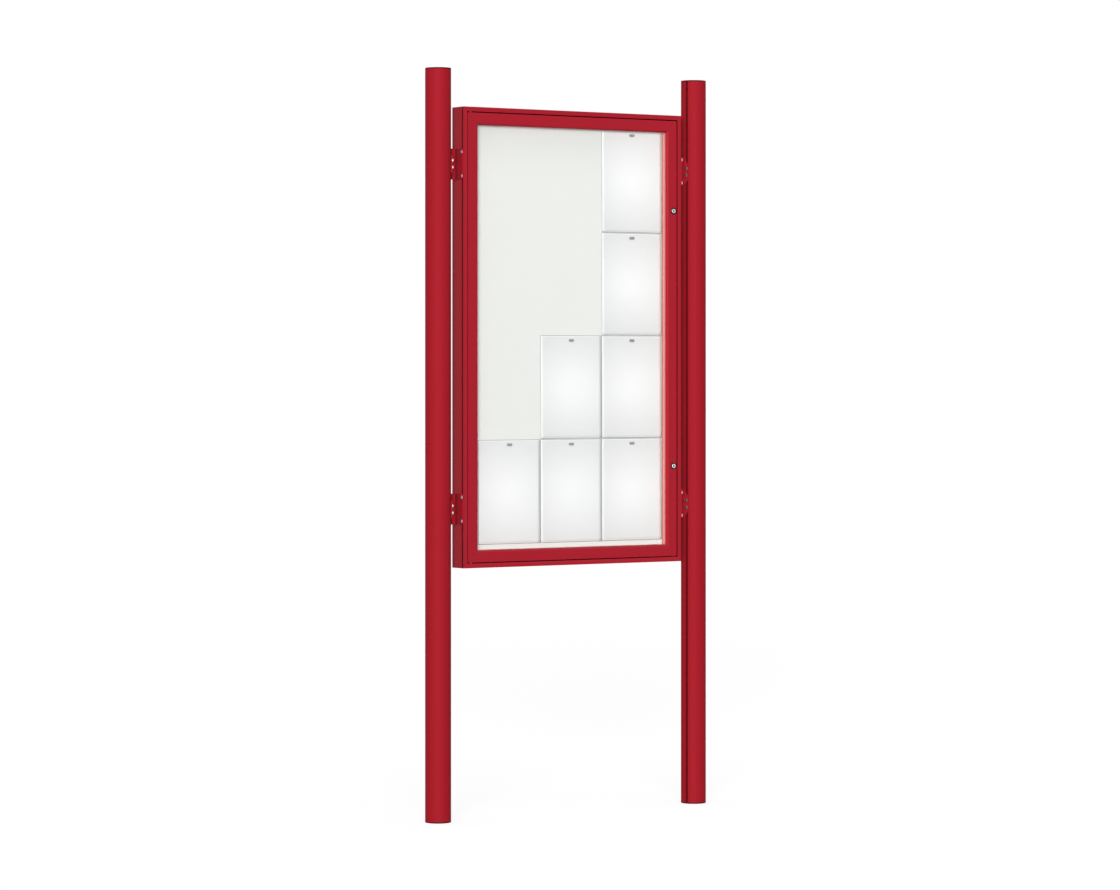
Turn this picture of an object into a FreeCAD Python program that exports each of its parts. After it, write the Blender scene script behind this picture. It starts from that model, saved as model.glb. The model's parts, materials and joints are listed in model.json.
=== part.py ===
import FreeCAD
import Part
import math
import os
from itertools import product

import Sketcher
from FreeCAD import Placement, Rotation, Vector

# Glazed notice board between two round posts, in millimetres.
# Origin on the ground midway between the posts, X to the lock side, Y to the back, Z up.

doc = FreeCAD.newDocument("NoticeBoard")
sheet = doc.addObject("Spreadsheet::Sheet", "Sizes")

DRIVING = {
    # posts
    "post_half_spacing": 438.0,
    "post_height": 2116.0,
    "post_radius": 36.5,
    "post_wall": 3.0,
    "cap_thickness": 4.0,
    "cap_rounding": 1.5,
    "plug_depth": 22.0,
    "plug_wall": 2.5,
    "close_play": 0.1,
    "slot_angle": 22.5,
    "slot_mouth": 8.0,
    "slot_cavity": 15.0,
    "slot_cavity_depth": 6.0,
    "slot_lip": 3.5,
    "slot_wall": 2.0,
    # cabinet
    "cabinet_width": 746.0,
    "cabinet_height": 1298.0,
    "cabinet_depth": 60.0,
    "cabinet_bottom": 711.0,
    "rim": 13.0,
    "wall": 2.0,
    "rear_flange": 22.0,
    "chamber_front": 1.6,
    "chamber_depth": 8.8,
    "side_slot_centre": 6.0,
    "side_slot_mouth": 6.6,
    "angle_leg": 40.0,
    "angle_thickness": 3.0,
    "angle_depth": 20.0,
    "angle_from_front": 32.0,
    # door
    "door_gap": 3.0,
    "door_frame": 34.0,
    "door_depth": 20.0,
    "door_tube": 20.0,
    "door_rounding": 7.0,
    "door_lip": 8.0,
    "glass_front": 9.0,
    "glass_thickness": 4.0,
    "glass_cover": 11.0,
    "bead_wall": 1.6,
    "seal_width": 7.0,
    "seal_depth": 4.6,
    "gasket_width": 8.0,
    "gasket_inset": 0.5,
    "cleat_leg": 55.0,
    "cleat_play": 0.2,
    # hinge
    "hinge_from_edge": 11.0,
    "hinge_from_front": 6.0,
    "pin_radius": 3.0,
    "pin_play": 0.05,
    "bush_radius": 4.0,
    "bush_length": 14.0,
    "bush_flange_radius": 5.5,
    "bush_flange": 1.0,
    "pin_cover": 3.0,
    "pin_block_length": 24.0,
    # locks
    "lock_from_edge": 10.5,
    "lock_half_spacing": 371.0,
    "barrel_radius": 7.0,
    "barrel_head_radius": 7.9,
    "barrel_proud": 1.2,
    "barrel_end": 0.2,
    "ring_radius": 9.2,
    "ring_thickness": 0.8,
    "collar_radius": 10.0,
    "collar_proud": 0.8,
    "plug_radius": 5.5,
    "plug_recess": 0.4,
    "keyway_width": 1.8,
    "keyway_height": 8.0,
    "keyway_depth": 12.0,
    "cam_length": 16.0,
    "cam_width": 12.0,
    "cam_thickness": 2.0,
    "cam_gap": 0.4,
    "cam_screw_radius": 2.0,
    "cam_screw_length": 8.0,
    "cam_screw_head_radius": 3.6,
    "cam_screw_head": 1.8,
    "strike_thickness": 2.0,
    "strike_height": 44.0,
    "strike_depth": 30.0,
    "strike_clearance": 0.4,
    "strike_inset": 0.5,
    "strike_screw_spacing": 28.0,
    "strike_screw_from_back": 8.0,
    "strike_screw_head": 1.6,
    # board
    "board_front": 25.0,
    "board_thickness": 1.5,
    "board_margin": 13.5,
    "panel_thickness": 2.0,
    "panel_play": 0.5,
    "panel_screw_radius": 2.0,
    "panel_screw_inset": 14.0,
    "panel_screw_head_radius": 4.0,
    "panel_screw_head": 2.0,
    "panel_screw_tip": 4.0,
    "screw_hole_play": 0.2,
    "channel_width": 40.0,
    "channel_height": 1180.0,
    "channel_spacing": 220.0,
    "channel_wall": 1.5,
    # notices
    "notice_width": 210.0,
    "notice_height": 297.0,
    "notice_thickness": 0.3,
    "notice_bottom": 774.3,
    "notice_shift": 3.5,
    "magnet_width": 16.0,
    "magnet_height": 8.0,
    "magnet_depth": 5.0,
    "magnet_below_edge": 15.0,
    # brackets
    "bracket_spacing": 485.0,
    "bracket_lift": 2.4,
    "bracket_height": 87.0,
    "bracket_thickness": 3.0,
    "bracket_front": 1.0,
    "bracket_web": 28.0,
    "bracket_post_flange": 5.8,
    "bracket_chamfer": 19.0,
    "bracket_chamfer_run": 5.5,
    "bracket_rounding": 7.0,
    "bend_radius": 2.0,
    "cabinet_screw_spacing": 67.0,
    "post_screw_spacing": 19.5,
    "screw_radius": 3.0,
    "screw_hole_radius": 3.3,
    "screw_head_radius": 5.25,
    "screw_head": 3.3,
    "screw_head_side": 2.8,
    "socket_radius": 2.31,
    "socket_depth": 2.1,
    "nut_height": 4.0,
    "nut_play": 0.6,
    "cabinet_nut_length": 14.0,
    "post_nut_length": 16.0,
}

# Column and row of each notice, columns from the left and rows from the bottom.
NOTICES = ((0, 0), (1, 0), (2, 0), (1, 1), (2, 1), (2, 2), (2, 3))

# Where the rear panel's screws stand along the bars, counted from each bar's middle.
PANEL_SCREWS_ALONG_TOP = (-250, 0, 250)
PANEL_SCREWS_ALONG_SIDE = (-480, -160, 160, 480)

# Cutters run past the metal by this much.
CLEAR = 1.0

# Two measured places closer than this are the same.
NEAR = 0.05

for row, (alias, number) in enumerate(DRIVING.items(), start=1):
    sheet.set(f"A{row}", alias)
    sheet.set(f"B{row}", str(number))
    sheet.setAlias(f"B{row}", alias)
doc.recompute()


class Size:
    """A length with its number and the same sum as an expression on the sheet."""

    def __init__(self, number, words):
        self.number = float(number)
        self.words = words

    def __add__(self, other):
        other = size_of(other)
        return Size(self.number + other.number, f"({self.words} + {other.words})")

    def __sub__(self, other):
        other = size_of(other)
        return Size(self.number - other.number, f"({self.words} - {other.words})")

    def __mul__(self, factor):
        return Size(self.number * factor, f"({self.words} * {factor})")

    def __truediv__(self, factor):
        return Size(self.number / factor, f"({self.words} / {factor})")

    def __neg__(self):
        return Size(-self.number, f"(-1 * {self.words})")

    __radd__ = __add__
    __rmul__ = __mul__


def size_of(value):
    if isinstance(value, Size):
        return value
    return Size(value, f"({float(value)})")


def cell(alias):
    return Size(sheet.get(alias), f"Sizes.{alias}")


def bind(thing, prop, value):
    """Set a property to a size and keep it tied to the sheet."""
    thing.setExpression(prop, size_of(value).words)


def place(thing, x=0, y=0, z=0, turn=None):
    """Put a piece at a place that follows the sheet, after an optional fixed turn."""
    x, y, z = size_of(x), size_of(y), size_of(z)
    thing.Placement = Placement(Vector(x.number, y.number, z.number), turn or Rotation())
    bind(thing, "Placement.Base.x", x)
    bind(thing, "Placement.Base.y", y)
    bind(thing, "Placement.Base.z", z)
    return thing


# Places that several pieces share.
half_width = cell("cabinet_width") / 2
front = -(cell("cabinet_depth") / 2)
middle_height = cell("cabinet_bottom") + cell("cabinet_height") / 2
half_height = cell("cabinet_height") / 2
door_half_width = half_width - cell("rim") - cell("door_gap")
door_half_height = half_height - cell("rim") - cell("door_gap")
view_half_width = door_half_width - cell("door_frame")
view_half_height = door_half_height - cell("door_frame")
hinge_x = cell("hinge_from_edge") - door_half_width
hinge_y = front + cell("hinge_from_front")
lock_x = door_half_width - cell("lock_from_edge")
glass_back = cell("glass_front") + cell("glass_thickness")
chamber_back = cell("chamber_front") + cell("chamber_depth")

TURN_OVER = Rotation(Vector(0, 1, 0), 180)
TO_LEFT_SIDE = Rotation(Vector(0, 1, 0), -90)
TO_RIGHT_SIDE = Rotation(Vector(0, 1, 0), 90)
ALONG_X = Rotation(Vector(0, 1, 0), 90)
ALONG_MINUS_X = Rotation(Vector(0, 1, 0), -90)
ALONG_Y = Rotation(Vector(1, 0, 0), -90)
ROLL_OVER = Rotation(Vector(1, 0, 0), 180)
HALF_TURN = Rotation(Vector(0, 0, 1), 180)

nodes = []


def keep(piece, label):
    """Name a finished piece and list it for export."""
    piece.Label = label
    nodes.append(piece)
    return piece


# Sketches and bodies


def new_body(name):
    return doc.addObject("PartDesign::Body", name)


def new_sketch(body, plane, name):
    sketch = body.newObject("Sketcher::SketchObject", name)
    for origin_feature in body.Origin.OriginFeatures:
        if origin_feature.Role == plane:
            sketch.AttachmentSupport = [(origin_feature, "")]
    sketch.MapMode = "FlatFace"
    return sketch


def tie_point(sketch, element, point, x, y):
    """Fix one point of a sketch at sizes counted from the sketch's origin."""
    for kind, value in (("DistanceX", x), ("DistanceY", y)):
        value = size_of(value)
        rule = Sketcher.Constraint(kind, -1, 1, element, point, value.number)
        index = sketch.addConstraint(rule)
        sketch.renameConstraint(index, f"place_{index}")
        sketch.setExpression(f"Constraints.place_{index}", value.words)


def draw_outline(sketch, corners):
    """Closed outline of straight sides through the corners."""
    points = [Vector(size_of(x).number, size_of(y).number, 0) for x, y in corners]
    first = sketch.GeometryCount
    count = len(points)
    for i, start in enumerate(points):
        sketch.addGeometry(Part.LineSegment(start, points[(i + 1) % count]), False)
    for i in range(count):
        following = first + (i + 1) % count
        sketch.addConstraint(Sketcher.Constraint("Coincident", first + i, 2, following, 1))
    for i, (x, y) in enumerate(corners):
        tie_point(sketch, first + i, 1, x, y)


def draw_rectangle(sketch, left, right, low, high):
    draw_outline(sketch, [(left, low), (right, low), (right, high), (left, high)])


def draw_circle(sketch, x, y, radius):
    x, y, radius = size_of(x), size_of(y), size_of(radius)
    circle = Part.Circle(Vector(x.number, y.number, 0), Vector(0, 0, 1), radius.number)
    element = sketch.addGeometry(circle, False)
    tie_point(sketch, element, 3, x, y)
    index = sketch.addConstraint(Sketcher.Constraint("Radius", element, radius.number))
    sketch.renameConstraint(index, f"radius_{index}")
    sketch.setExpression(f"Constraints.radius_{index}", radius.words)


def pad(body, sketch, length, both_ways=False):
    feature = body.newObject("PartDesign::Pad", f"{body.Name}_pad")
    feature.Profile = sketch
    feature.Midplane = both_ways
    bind(feature, "Length", length)
    sketch.Visibility = False
    return feature


def cut_through(body, sketch):
    """Cut the sketch right through the body, on both sides of its plane."""
    feature = body.newObject("PartDesign::Pocket", f"{body.Name}_cut")
    feature.Profile = sketch
    feature.Type = "ThroughAll"
    feature.Midplane = True
    sketch.Visibility = False
    return feature


def fillet(body, wanted, radius):
    """Round the edges whose midpoints the test picks."""
    doc.recompute()
    base = body.Tip
    names = []
    for i, edge in enumerate(base.Shape.Edges, start=1):
        if wanted(edge):
            names.append(f"Edge{i}")
    feature = body.newObject("PartDesign::Fillet", f"{body.Name}_fillet")
    feature.Base = (base, names)
    bind(feature, "Radius", radius)
    return feature


# Simple solids


def box(name, x, y, z, length, width, height):
    """Box from its lowest corner."""
    solid = doc.addObject("Part::Box", name)
    bind(solid, "Length", length)
    bind(solid, "Width", width)
    bind(solid, "Height", height)
    return place(solid, x, y, z)


def cylinder(name, radius, length, x=0, y=0, z=0, turn=None):
    """Cylinder that starts at its place and runs along Z, or along the turned Z."""
    solid = doc.addObject("Part::Cylinder", name)
    bind(solid, "Radius", radius)
    bind(solid, "Height", length)
    return place(solid, x, y, z, turn)


def cut(name, base, tool):
    feature = doc.addObject("Part::Cut", name)
    feature.Base = base
    feature.Tool = tool
    return feature


def fuse(name, *solids):
    feature = doc.addObject("Part::MultiFuse", name)
    feature.Shapes = list(solids)
    return feature


def group(label, pattern, places):
    """One node that holds a separate copy of a solid at each place."""
    doc.recompute()
    copies = []
    for where in places:
        solid = pattern.Shape.copy()
        solid.Placement = where.multiply(solid.Placement)
        copies.append(solid)
    feature = doc.addObject("Part::Feature", label)
    feature.Shape = Part.makeCompound(copies)
    return keep(feature, label)


def at(x, y, z, turn=None):
    numbers = [size_of(value).number for value in (x, y, z)]
    return Placement(Vector(*numbers), turn or Rotation())


# Posts


def slot_corners(angle_sign, half_breadth, inner, outer):
    """Corners of a block along one slot's direction, seen from above."""
    angle = math.radians(cell("slot_angle").number * angle_sign)
    corners = []
    for reach, side in ((inner, -1), (outer, -1), (outer, 1), (inner, 1)):
        x = reach * math.cos(angle) - half_breadth * (side * math.sin(angle))
        y = reach * math.sin(angle) + half_breadth * (side * math.cos(angle))
        corners.append((x, y))
    return corners


def make_post(label):
    body = new_body(label)
    radius = cell("post_radius")
    inner = radius - cell("post_wall")
    length = cell("post_height") - cell("cap_thickness") * 2
    ring = new_sketch(body, "XY_Plane", f"{label}_ring")
    draw_circle(ring, 0, 0, radius)
    draw_circle(ring, 0, 0, inner)
    pad(body, ring, length)

    lip_inside = radius - cell("slot_lip")
    cavity_floor = lip_inside - cell("slot_cavity_depth")
    cavity_half = cell("slot_cavity") / 2
    wall = cell("slot_wall")
    block_outside = radius - cell("post_wall") / 2
    for sign in (-1, 1):
        block = new_sketch(body, "XY_Plane", f"{label}_slot_block")
        draw_outline(block, slot_corners(sign, cavity_half + wall, cavity_floor - wall, block_outside))
        pad(body, block, length)
    for sign in (-1, 1):
        cavity = new_sketch(body, "XY_Plane", f"{label}_slot_cavity")
        draw_outline(cavity, slot_corners(sign, cavity_half, cavity_floor, lip_inside))
        cut_through(body, cavity)
        mouth = new_sketch(body, "XY_Plane", f"{label}_slot_mouth")
        mouth_half = cell("slot_mouth") / 2
        draw_outline(mouth, slot_corners(sign, mouth_half, lip_inside - wall, radius + wall))
        cut_through(body, mouth)
    return keep(body, label)


def make_plug(label):
    """End plug: a disc that covers the tube, and an open skirt that clears the slots."""
    thickness = cell("cap_thickness")
    skirt_radius = cell("post_radius") - cell("post_wall") - cell("close_play")
    disc = cylinder(f"{label}_disc", cell("post_radius"), thickness)
    doc.recompute()
    rounded = doc.addObject("Part::Fillet", f"{label}_rounded")
    rounded.Base = disc
    rounding = cell("cap_rounding").number
    rounded.Edges = [
        (i, rounding, rounding)
        for i, edge in enumerate(disc.Shape.Edges, start=1)
        if edge.BoundBox.ZMin > thickness.number - NEAR
    ]
    depth = cell("plug_depth")
    outer = cylinder(f"{label}_skirt_outside", skirt_radius, depth, z=-depth)
    inner = cylinder(f"{label}_skirt_inside", skirt_radius - cell("plug_wall"), depth, z=-depth)
    ring = cut(f"{label}_skirt_ring", outer, inner)
    reach = cell("post_radius")
    opening = box(f"{label}_skirt_opening", 0, -reach, -depth, reach, reach * 2, depth)
    skirt = cut(f"{label}_skirt", ring, opening)
    return keep(fuse(label, rounded, skirt), label)


def make_posts():
    thickness = cell("cap_thickness")
    top = cell("post_height") - thickness
    for side, sign, turn in (("left", -1, Rotation()), ("right", 1, HALF_TURN)):
        x = cell("post_half_spacing") * sign
        place(make_post(f"{side}_post"), x, 0, thickness, turn)
        place(make_plug(f"{side}_post_cap"), x, 0, top, turn)
        # Turned over, the foot plug's skirt opening still faces the slots.
        upside_down = TURN_OVER if sign > 0 else ROLL_OVER
        place(make_plug(f"{side}_post_foot"), x, 0, thickness, upside_down)


# Mitred frames
# Each bar is drawn as the top one: outer edge at Z = 0, inwards along -Z, front at Y = 0.


def mitre(body, half_length, across):
    """Cut both ends of a bar at 45 degrees over its width."""
    sketch = new_sketch(body, "XZ_Plane", f"{body.Name}_mitre")
    reach = across + CLEAR
    for sign in (-1, 1):
        tip = half_length * sign
        shoulder = (half_length - reach) * sign
        past = (half_length + CLEAR) * sign
        draw_outline(sketch, [(tip, 0), (past, 0), (past, -reach), (shoulder, -reach)])
    cut_through(body, sketch)


def make_bar(label, half_length, across, outlines, rounding=None):
    """Bar of a mitred frame from its section, given as (distance inwards, depth) corners.

    A rounding softens the long edge at the front of the bar's inner side.
    """
    body = new_body(label)
    section = new_sketch(body, "YZ_Plane", f"{label}_section")
    for outline in outlines:
        draw_outline(section, [(depth, -size_of(inwards)) for inwards, depth in outline])
    pad(body, section, half_length * 2, both_ways=True)
    if rounding:
        inner_front = (0, -across.number)

        def on_inner_front(edge):
            middle = edge.BoundBox.Center
            along = edge.BoundBox.XLength > half_length.number
            return along and math.dist((middle.y, middle.z), inner_front) < NEAR

        fillet(body, on_inner_front, rounding)
    mitre(body, half_length, across)
    return body


def place_frame(names, make, half_wide, half_tall, y):
    """Four bars round the cabinet's middle, named in the order top, bottom, left, right."""
    top, bottom, left, right = names
    place(keep(make(top, half_wide), top), 0, y, middle_height + half_tall)
    place(keep(make(bottom, half_wide), bottom), 0, y, middle_height - half_tall, TURN_OVER)
    place(keep(make(left, half_tall), left), -half_wide, y, middle_height, TO_LEFT_SIDE)
    place(keep(make(right, half_tall), right), half_wide, y, middle_height, TO_RIGHT_SIDE)


def draw_holes(body, plane, holes, name):
    """Sketch of round holes, each given as (x, y, radius) on the plane."""
    sketch = new_sketch(body, plane, f"{body.Name}_{name}")
    for x, y, radius in holes:
        draw_circle(sketch, x, y, radius)
    return sketch


def drill_one_wall(body, sketch, depth):
    """Blind holes from the sketch's plane, to the depth, into one wall only."""
    feature = body.newObject("PartDesign::Pocket", f"{sketch.Name}_cut")
    feature.Profile = sketch
    feature.Type = "Length"
    feature.Reversed = False
    bind(feature, "Length", depth)
    return feature


def housing_section():
    wall = cell("wall")
    rim = cell("rim")
    depth = cell("cabinet_depth")
    flange = cell("rear_flange")
    chamber_front = cell("chamber_front")
    inner = rim - wall
    mouth = cell("side_slot_centre")
    half_mouth = cell("side_slot_mouth") / 2
    return [
        [
            (0, 0),
            (rim, 0),
            (rim, chamber_back + chamber_front),
            (wall, chamber_back + chamber_front),
            (wall, depth - wall),
            (flange, depth - wall),
            (flange, depth),
            (0, depth),
            (0, mouth + half_mouth),
            (wall, mouth + half_mouth),
            (wall, chamber_back),
            (inner, chamber_back),
            (inner, chamber_front),
            (wall, chamber_front),
            (wall, mouth - half_mouth),
            (0, mouth - half_mouth),
        ]
    ]


def panel_screw_places():
    """Where the rear panel's screws stand, as (x, height)."""
    inset = cell("panel_screw_inset")
    places = []
    for x in PANEL_SCREWS_ALONG_TOP:
        for sign in (-1, 1):
            places.append((size_of(x), middle_height + (half_height - inset) * sign))
    for z in PANEL_SCREWS_ALONG_SIDE:
        for sign in (-1, 1):
            places.append(((half_width - inset) * sign, middle_height + z))
    return places


def make_housing():
    def bar(label, half_length):
        body = make_bar(label, half_length, cell("rear_flange"), housing_section())
        along = PANEL_SCREWS_ALONG_TOP if half_length is half_width else PANEL_SCREWS_ALONG_SIDE
        radius = cell("panel_screw_radius") + cell("screw_hole_play")
        holes = [(x, -cell("panel_screw_inset"), radius) for x in along]
        cut_through(body, draw_holes(body, "XZ_Plane", holes, "screw_holes"))
        if label in ("housing_top", "housing_bottom"):
            # The bar that is turned over has the hinge side at +X in its own frame.
            side = 1 if label == "housing_top" else -1
            pin_radius = cell("pin_radius") + cell("screw_hole_play")
            hole = [(hinge_x * side, cell("hinge_from_front"), pin_radius)]
            sketch = draw_holes(body, "XY_Plane", hole, "pin_hole")
            drill_one_wall(body, sketch, cell("rim") + CLEAR)
        return body

    names = ("housing_top", "housing_bottom", "housing_left", "housing_right")
    place_frame(names, bar, half_width, half_height, front)


def make_corner_angles():
    """Angles inside the housing's corners, behind the front chamber."""
    leg = cell("angle_leg")
    thickness = cell("angle_thickness")
    depth = cell("angle_depth")
    upright = box("angle_upright", 0, 0, 0, thickness, depth, leg)
    flat = box("angle_flat", 0, 0, 0, leg, depth, thickness)
    pattern = fuse("corner_angle", upright, flat)
    inset_x = half_width - cell("wall")
    inset_z = half_height - cell("wall")
    y = front + cell("angle_from_front")
    back = y + depth
    places = [
        at(-inset_x, y, middle_height - inset_z),
        at(inset_x, back, middle_height - inset_z, HALF_TURN),
        at(-inset_x, back, middle_height + inset_z, ROLL_OVER),
        at(inset_x, y, middle_height + inset_z, TURN_OVER),
    ]
    group("housing_corner_angles", pattern, places)


def make_rear_panel():
    flange_front = cell("cabinet_depth") - cell("wall")
    thickness = cell("panel_thickness")
    inset = cell("wall") + cell("panel_play")
    body = new_body("rear_panel")
    outline = new_sketch(body, "XZ_Plane", "rear_panel_outline")
    reach_x = half_width - inset
    reach_z = half_height - inset
    radius = cell("panel_screw_radius")
    draw_rectangle(outline, -reach_x, reach_x, -reach_z, reach_z)
    for x, z in panel_screw_places():
        draw_circle(outline, x, z - middle_height, radius + cell("screw_hole_play"))
    pad(body, outline, thickness)
    # The pad grows towards -Y, from the flange into the cabinet.
    place(keep(body, "rear_panel"), 0, front + flange_front, middle_height)

    length = cell("wall") + thickness + cell("panel_screw_tip")
    shank = cylinder("panel_screw_shank", radius, length, y=-length, turn=ALONG_Y)
    head_radius = cell("panel_screw_head_radius")
    head = cylinder("panel_screw_head", head_radius, cell("panel_screw_head"), turn=ALONG_Y)
    pattern = fuse("panel_screw", shank, head)
    places = [at(x, -front, z) for x, z in panel_screw_places()]
    group("rear_panel_screws", pattern, places)


# Door


def door_section():
    frame = cell("door_frame")
    depth = cell("door_depth")
    tube = cell("door_tube")
    lip = cell("door_lip")
    wall = cell("wall")
    outside = [
        (0, 0),
        (frame, 0),
        (frame, lip),
        (tube, lip),
        (tube, depth),
        (0, depth),
    ]
    tube_hollow = [
        (wall, wall),
        (tube - wall, wall),
        (tube - wall, depth - wall),
        (wall, depth - wall),
    ]
    lip_hollow = [
        (tube, wall),
        (frame - cell("door_rounding"), wall),
        (frame - wall, lip - wall),
        (tube, lip - wall),
    ]
    return [outside, tube_hollow, lip_hollow]


def make_door_frame():
    def bar(label, half_length):
        rounding = cell("door_rounding")
        body = make_bar(label, half_length, cell("door_frame"), door_section(), rounding)
        if label in ("door_top_rail", "door_bottom_rail"):
            side = 1 if label == "door_top_rail" else -1
            hole = [(hinge_x * side, cell("hinge_from_front"), cell("bush_radius"))]
            sketch = draw_holes(body, "XY_Plane", hole, "bush_hole")
            drill_one_wall(body, sketch, cell("wall") + CLEAR)
        if label == "door_lock_stile":
            # Turned to the right side, the bar's own X runs down the stile.
            lock = cell("lock_half_spacing")
            radius = cell("barrel_radius") + cell("close_play")
            holes = [(lock * sign, -cell("lock_from_edge"), radius) for sign in (-1, 1)]
            cut_through(body, draw_holes(body, "XZ_Plane", holes, "lock_holes"))
        return body

    names = ("door_top_rail", "door_bottom_rail", "door_hinge_stile", "door_lock_stile")
    place_frame(names, bar, door_half_width, door_half_height, front)


def make_door_cleats():
    """Solid angles inside the door's mitres; the two on the hinge side hold the bushes."""
    play = cell("cleat_play")
    side = cell("door_tube") - cell("wall") * 2 - play * 2
    start = cell("wall") + play
    leg = cell("cleat_leg")
    upright = box("cleat_upright", start, 0, start, side, side, leg)
    flat = box("cleat_flat", start, 0, start, leg, side, side)
    plain = fuse("door_cleat", upright, flat)
    bore_y = cell("hinge_from_front") - start
    bore = cylinder(
        "cleat_bore", cell("bush_radius"), cell("bush_length"), x=cell("hinge_from_edge"), y=bore_y
    )
    bored = cut("door_cleat_bored", fuse("door_cleat_hinge_side", upright, flat), bore)
    doc.recompute()
    y = front + start
    back = y + side
    low = middle_height - door_half_height
    high = middle_height + door_half_height
    half = door_half_width
    # The bore is on the cleat's front side, so the upper hinge cleat is a mirror image.
    mirrored = bored.Shape.mirror(Vector(0, 0, 0), Vector(0, 0, 1))
    solids = []
    for shape, where in (
        (bored.Shape.copy(), at(-half, y, low)),
        (mirrored, at(-half, y, high)),
        (plain.Shape.copy(), at(half, back, low, HALF_TURN)),
        (plain.Shape.copy(), at(half, y, high, TURN_OVER)),
    ):
        shape.Placement = where.multiply(shape.Placement)
        solids.append(shape)
    cleats = doc.addObject("Part::Feature", "door_corner_cleats")
    cleats.Shape = Part.makeCompound(solids)
    keep(cleats, "door_corner_cleats")


def make_glass():
    reach_x = view_half_width + cell("glass_cover")
    reach_z = view_half_height + cell("glass_cover")
    pane = box(
        "glass_pane",
        -reach_x,
        front + cell("glass_front"),
        middle_height - reach_z,
        reach_x * 2,
        cell("glass_thickness"),
        reach_z * 2,
    )
    keep(pane, "glass_pane")


def make_strips(label, inner_x, inner_z, width, y, depth):
    """Four mitred strips round the view, kept as one node."""
    section = [[(0, 0), (width, 0), (width, depth), (0, depth)]]
    outer_x = inner_x + width
    outer_z = inner_z + width
    level = make_bar(f"{label}_level", outer_x, width, section)
    upright = make_bar(f"{label}_upright", outer_z, width, section)
    doc.recompute()
    solids = []
    for shape, where in (
        (level.Shape, at(0, y, middle_height + outer_z)),
        (level.Shape, at(0, y, middle_height - outer_z, TURN_OVER)),
        (upright.Shape, at(-outer_x, y, middle_height, TO_LEFT_SIDE)),
        (upright.Shape, at(outer_x, y, middle_height, TO_RIGHT_SIDE)),
    ):
        strip = shape.copy()
        strip.Placement = where.multiply(strip.Placement)
        solids.append(strip)
    strips = doc.addObject("Part::Feature", label)
    strips.Shape = Part.makeCompound(solids)
    keep(strips, label)


def make_glazing():
    make_glass()
    gasket_depth = cell("glass_front") - cell("door_lip")
    make_strips(
        "glazing_gasket",
        view_half_width + cell("gasket_inset"),
        view_half_height + cell("gasket_inset"),
        cell("gasket_width"),
        front + cell("door_lip"),
        gasket_depth,
    )

    def bead(label, half_length):
        width = cell("door_frame") - cell("door_tube")
        depth = cell("door_depth") - glass_back
        wall = cell("bead_wall")
        outside = [(0, 0), (width, 0), (width, depth), (0, depth)]
        inner, back = width - wall, depth - wall
        hollow = [(wall, wall), (inner, wall), (inner, back), (wall, back)]
        return make_bar(label, half_length, width, [outside, hollow])

    tube = cell("door_tube")
    names = [f"glazing_bead_{side}" for side in ("top", "bottom", "left", "right")]
    place_frame(names, bead, door_half_width - tube, door_half_height - tube, front + glass_back)
    make_strips(
        "door_seal",
        view_half_width,
        view_half_height,
        cell("seal_width"),
        front + cell("door_depth"),
        cell("seal_depth"),
    )


# Hinges


def make_hinges():
    """Pins fixed in the housing's front chamber, turning in flanged bushes in the door."""
    bush_radius = cell("bush_radius")
    bore_radius = cell("pin_radius") + cell("pin_play")
    flange = cell("bush_flange")
    bush_length = cell("bush_length")
    pin_top = cell("rim") - cell("pin_cover")
    pin_length = pin_top + cell("door_gap") + bush_length
    flips = {"upper": (1, Rotation()), "lower": (-1, ROLL_OVER)}
    for name, (sign, turn) in flips.items():
        edge = middle_height + door_half_height * sign
        tube = cylinder(f"{name}_bush_tube", bush_radius, bush_length, z=-bush_length)
        disc = cylinder(f"{name}_bush_disc", cell("bush_flange_radius"), flange)
        outside = fuse(f"{name}_bush_outside", tube, disc)
        bore = cylinder(f"{name}_bush_bore", bore_radius, bush_length + flange, z=-bush_length)
        bush = cut(f"hinge_bush_{name}", outside, bore)
        place(keep(bush, f"hinge_bush_{name}"), hinge_x, hinge_y, edge, turn)

        pin = cylinder(f"hinge_pin_{name}", cell("pin_radius"), pin_length)
        start = edge + (cell("door_gap") + pin_top) * sign
        over = ROLL_OVER if sign > 0 else Rotation()
        place(keep(pin, f"hinge_pin_{name}"), hinge_x, hinge_y, start, over)

    length = cell("pin_block_length")
    play = cell("close_play")
    breadth = cell("chamber_depth") - play * 2
    height = cell("rim") - cell("wall") * 2 - play
    block = box("pin_block_solid", -length / 2, -breadth / 2, -height, length, breadth, height)
    offset = cell("hinge_from_front") - (cell("chamber_front") + cell("chamber_depth") / 2)
    bore = cylinder("pin_block_bore", cell("pin_radius"), height, y=offset, z=-height)
    pattern = cut("pin_block", block, bore)
    y = hinge_y - offset
    lift = door_half_height + cell("door_gap") + cell("rim") - cell("wall") - play
    places = [
        at(hinge_x, y, middle_height + lift),
        at(hinge_x, y, middle_height - lift + height),
    ]
    group("hinge_pin_blocks", pattern, places)


# Locks


def make_cam(label):
    """Cam that hangs from the lock's axis, with rounded ends and a hole for its screw."""
    half = cell("cam_width") / 2
    length = cell("cam_length")
    thickness = cell("cam_thickness")
    middle = box(f"{label}_middle", -half, 0, -length, half * 2, thickness, length)
    head = cylinder(f"{label}_head", half, thickness, turn=ALONG_Y)
    tip = cylinder(f"{label}_tip", half, thickness, z=-length, turn=ALONG_Y)
    hole_radius = cell("cam_screw_radius") + cell("close_play")
    hole = cylinder(f"{label}_hole", hole_radius, thickness, turn=ALONG_Y)
    return cut(label, fuse(f"{label}_blank", middle, head, tip), hole)


def round_bar(name, radius, length, y=0):
    """Round bar that starts at a depth and runs towards the back."""
    return cylinder(name, radius, length, y=y, turn=ALONG_Y)


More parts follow.
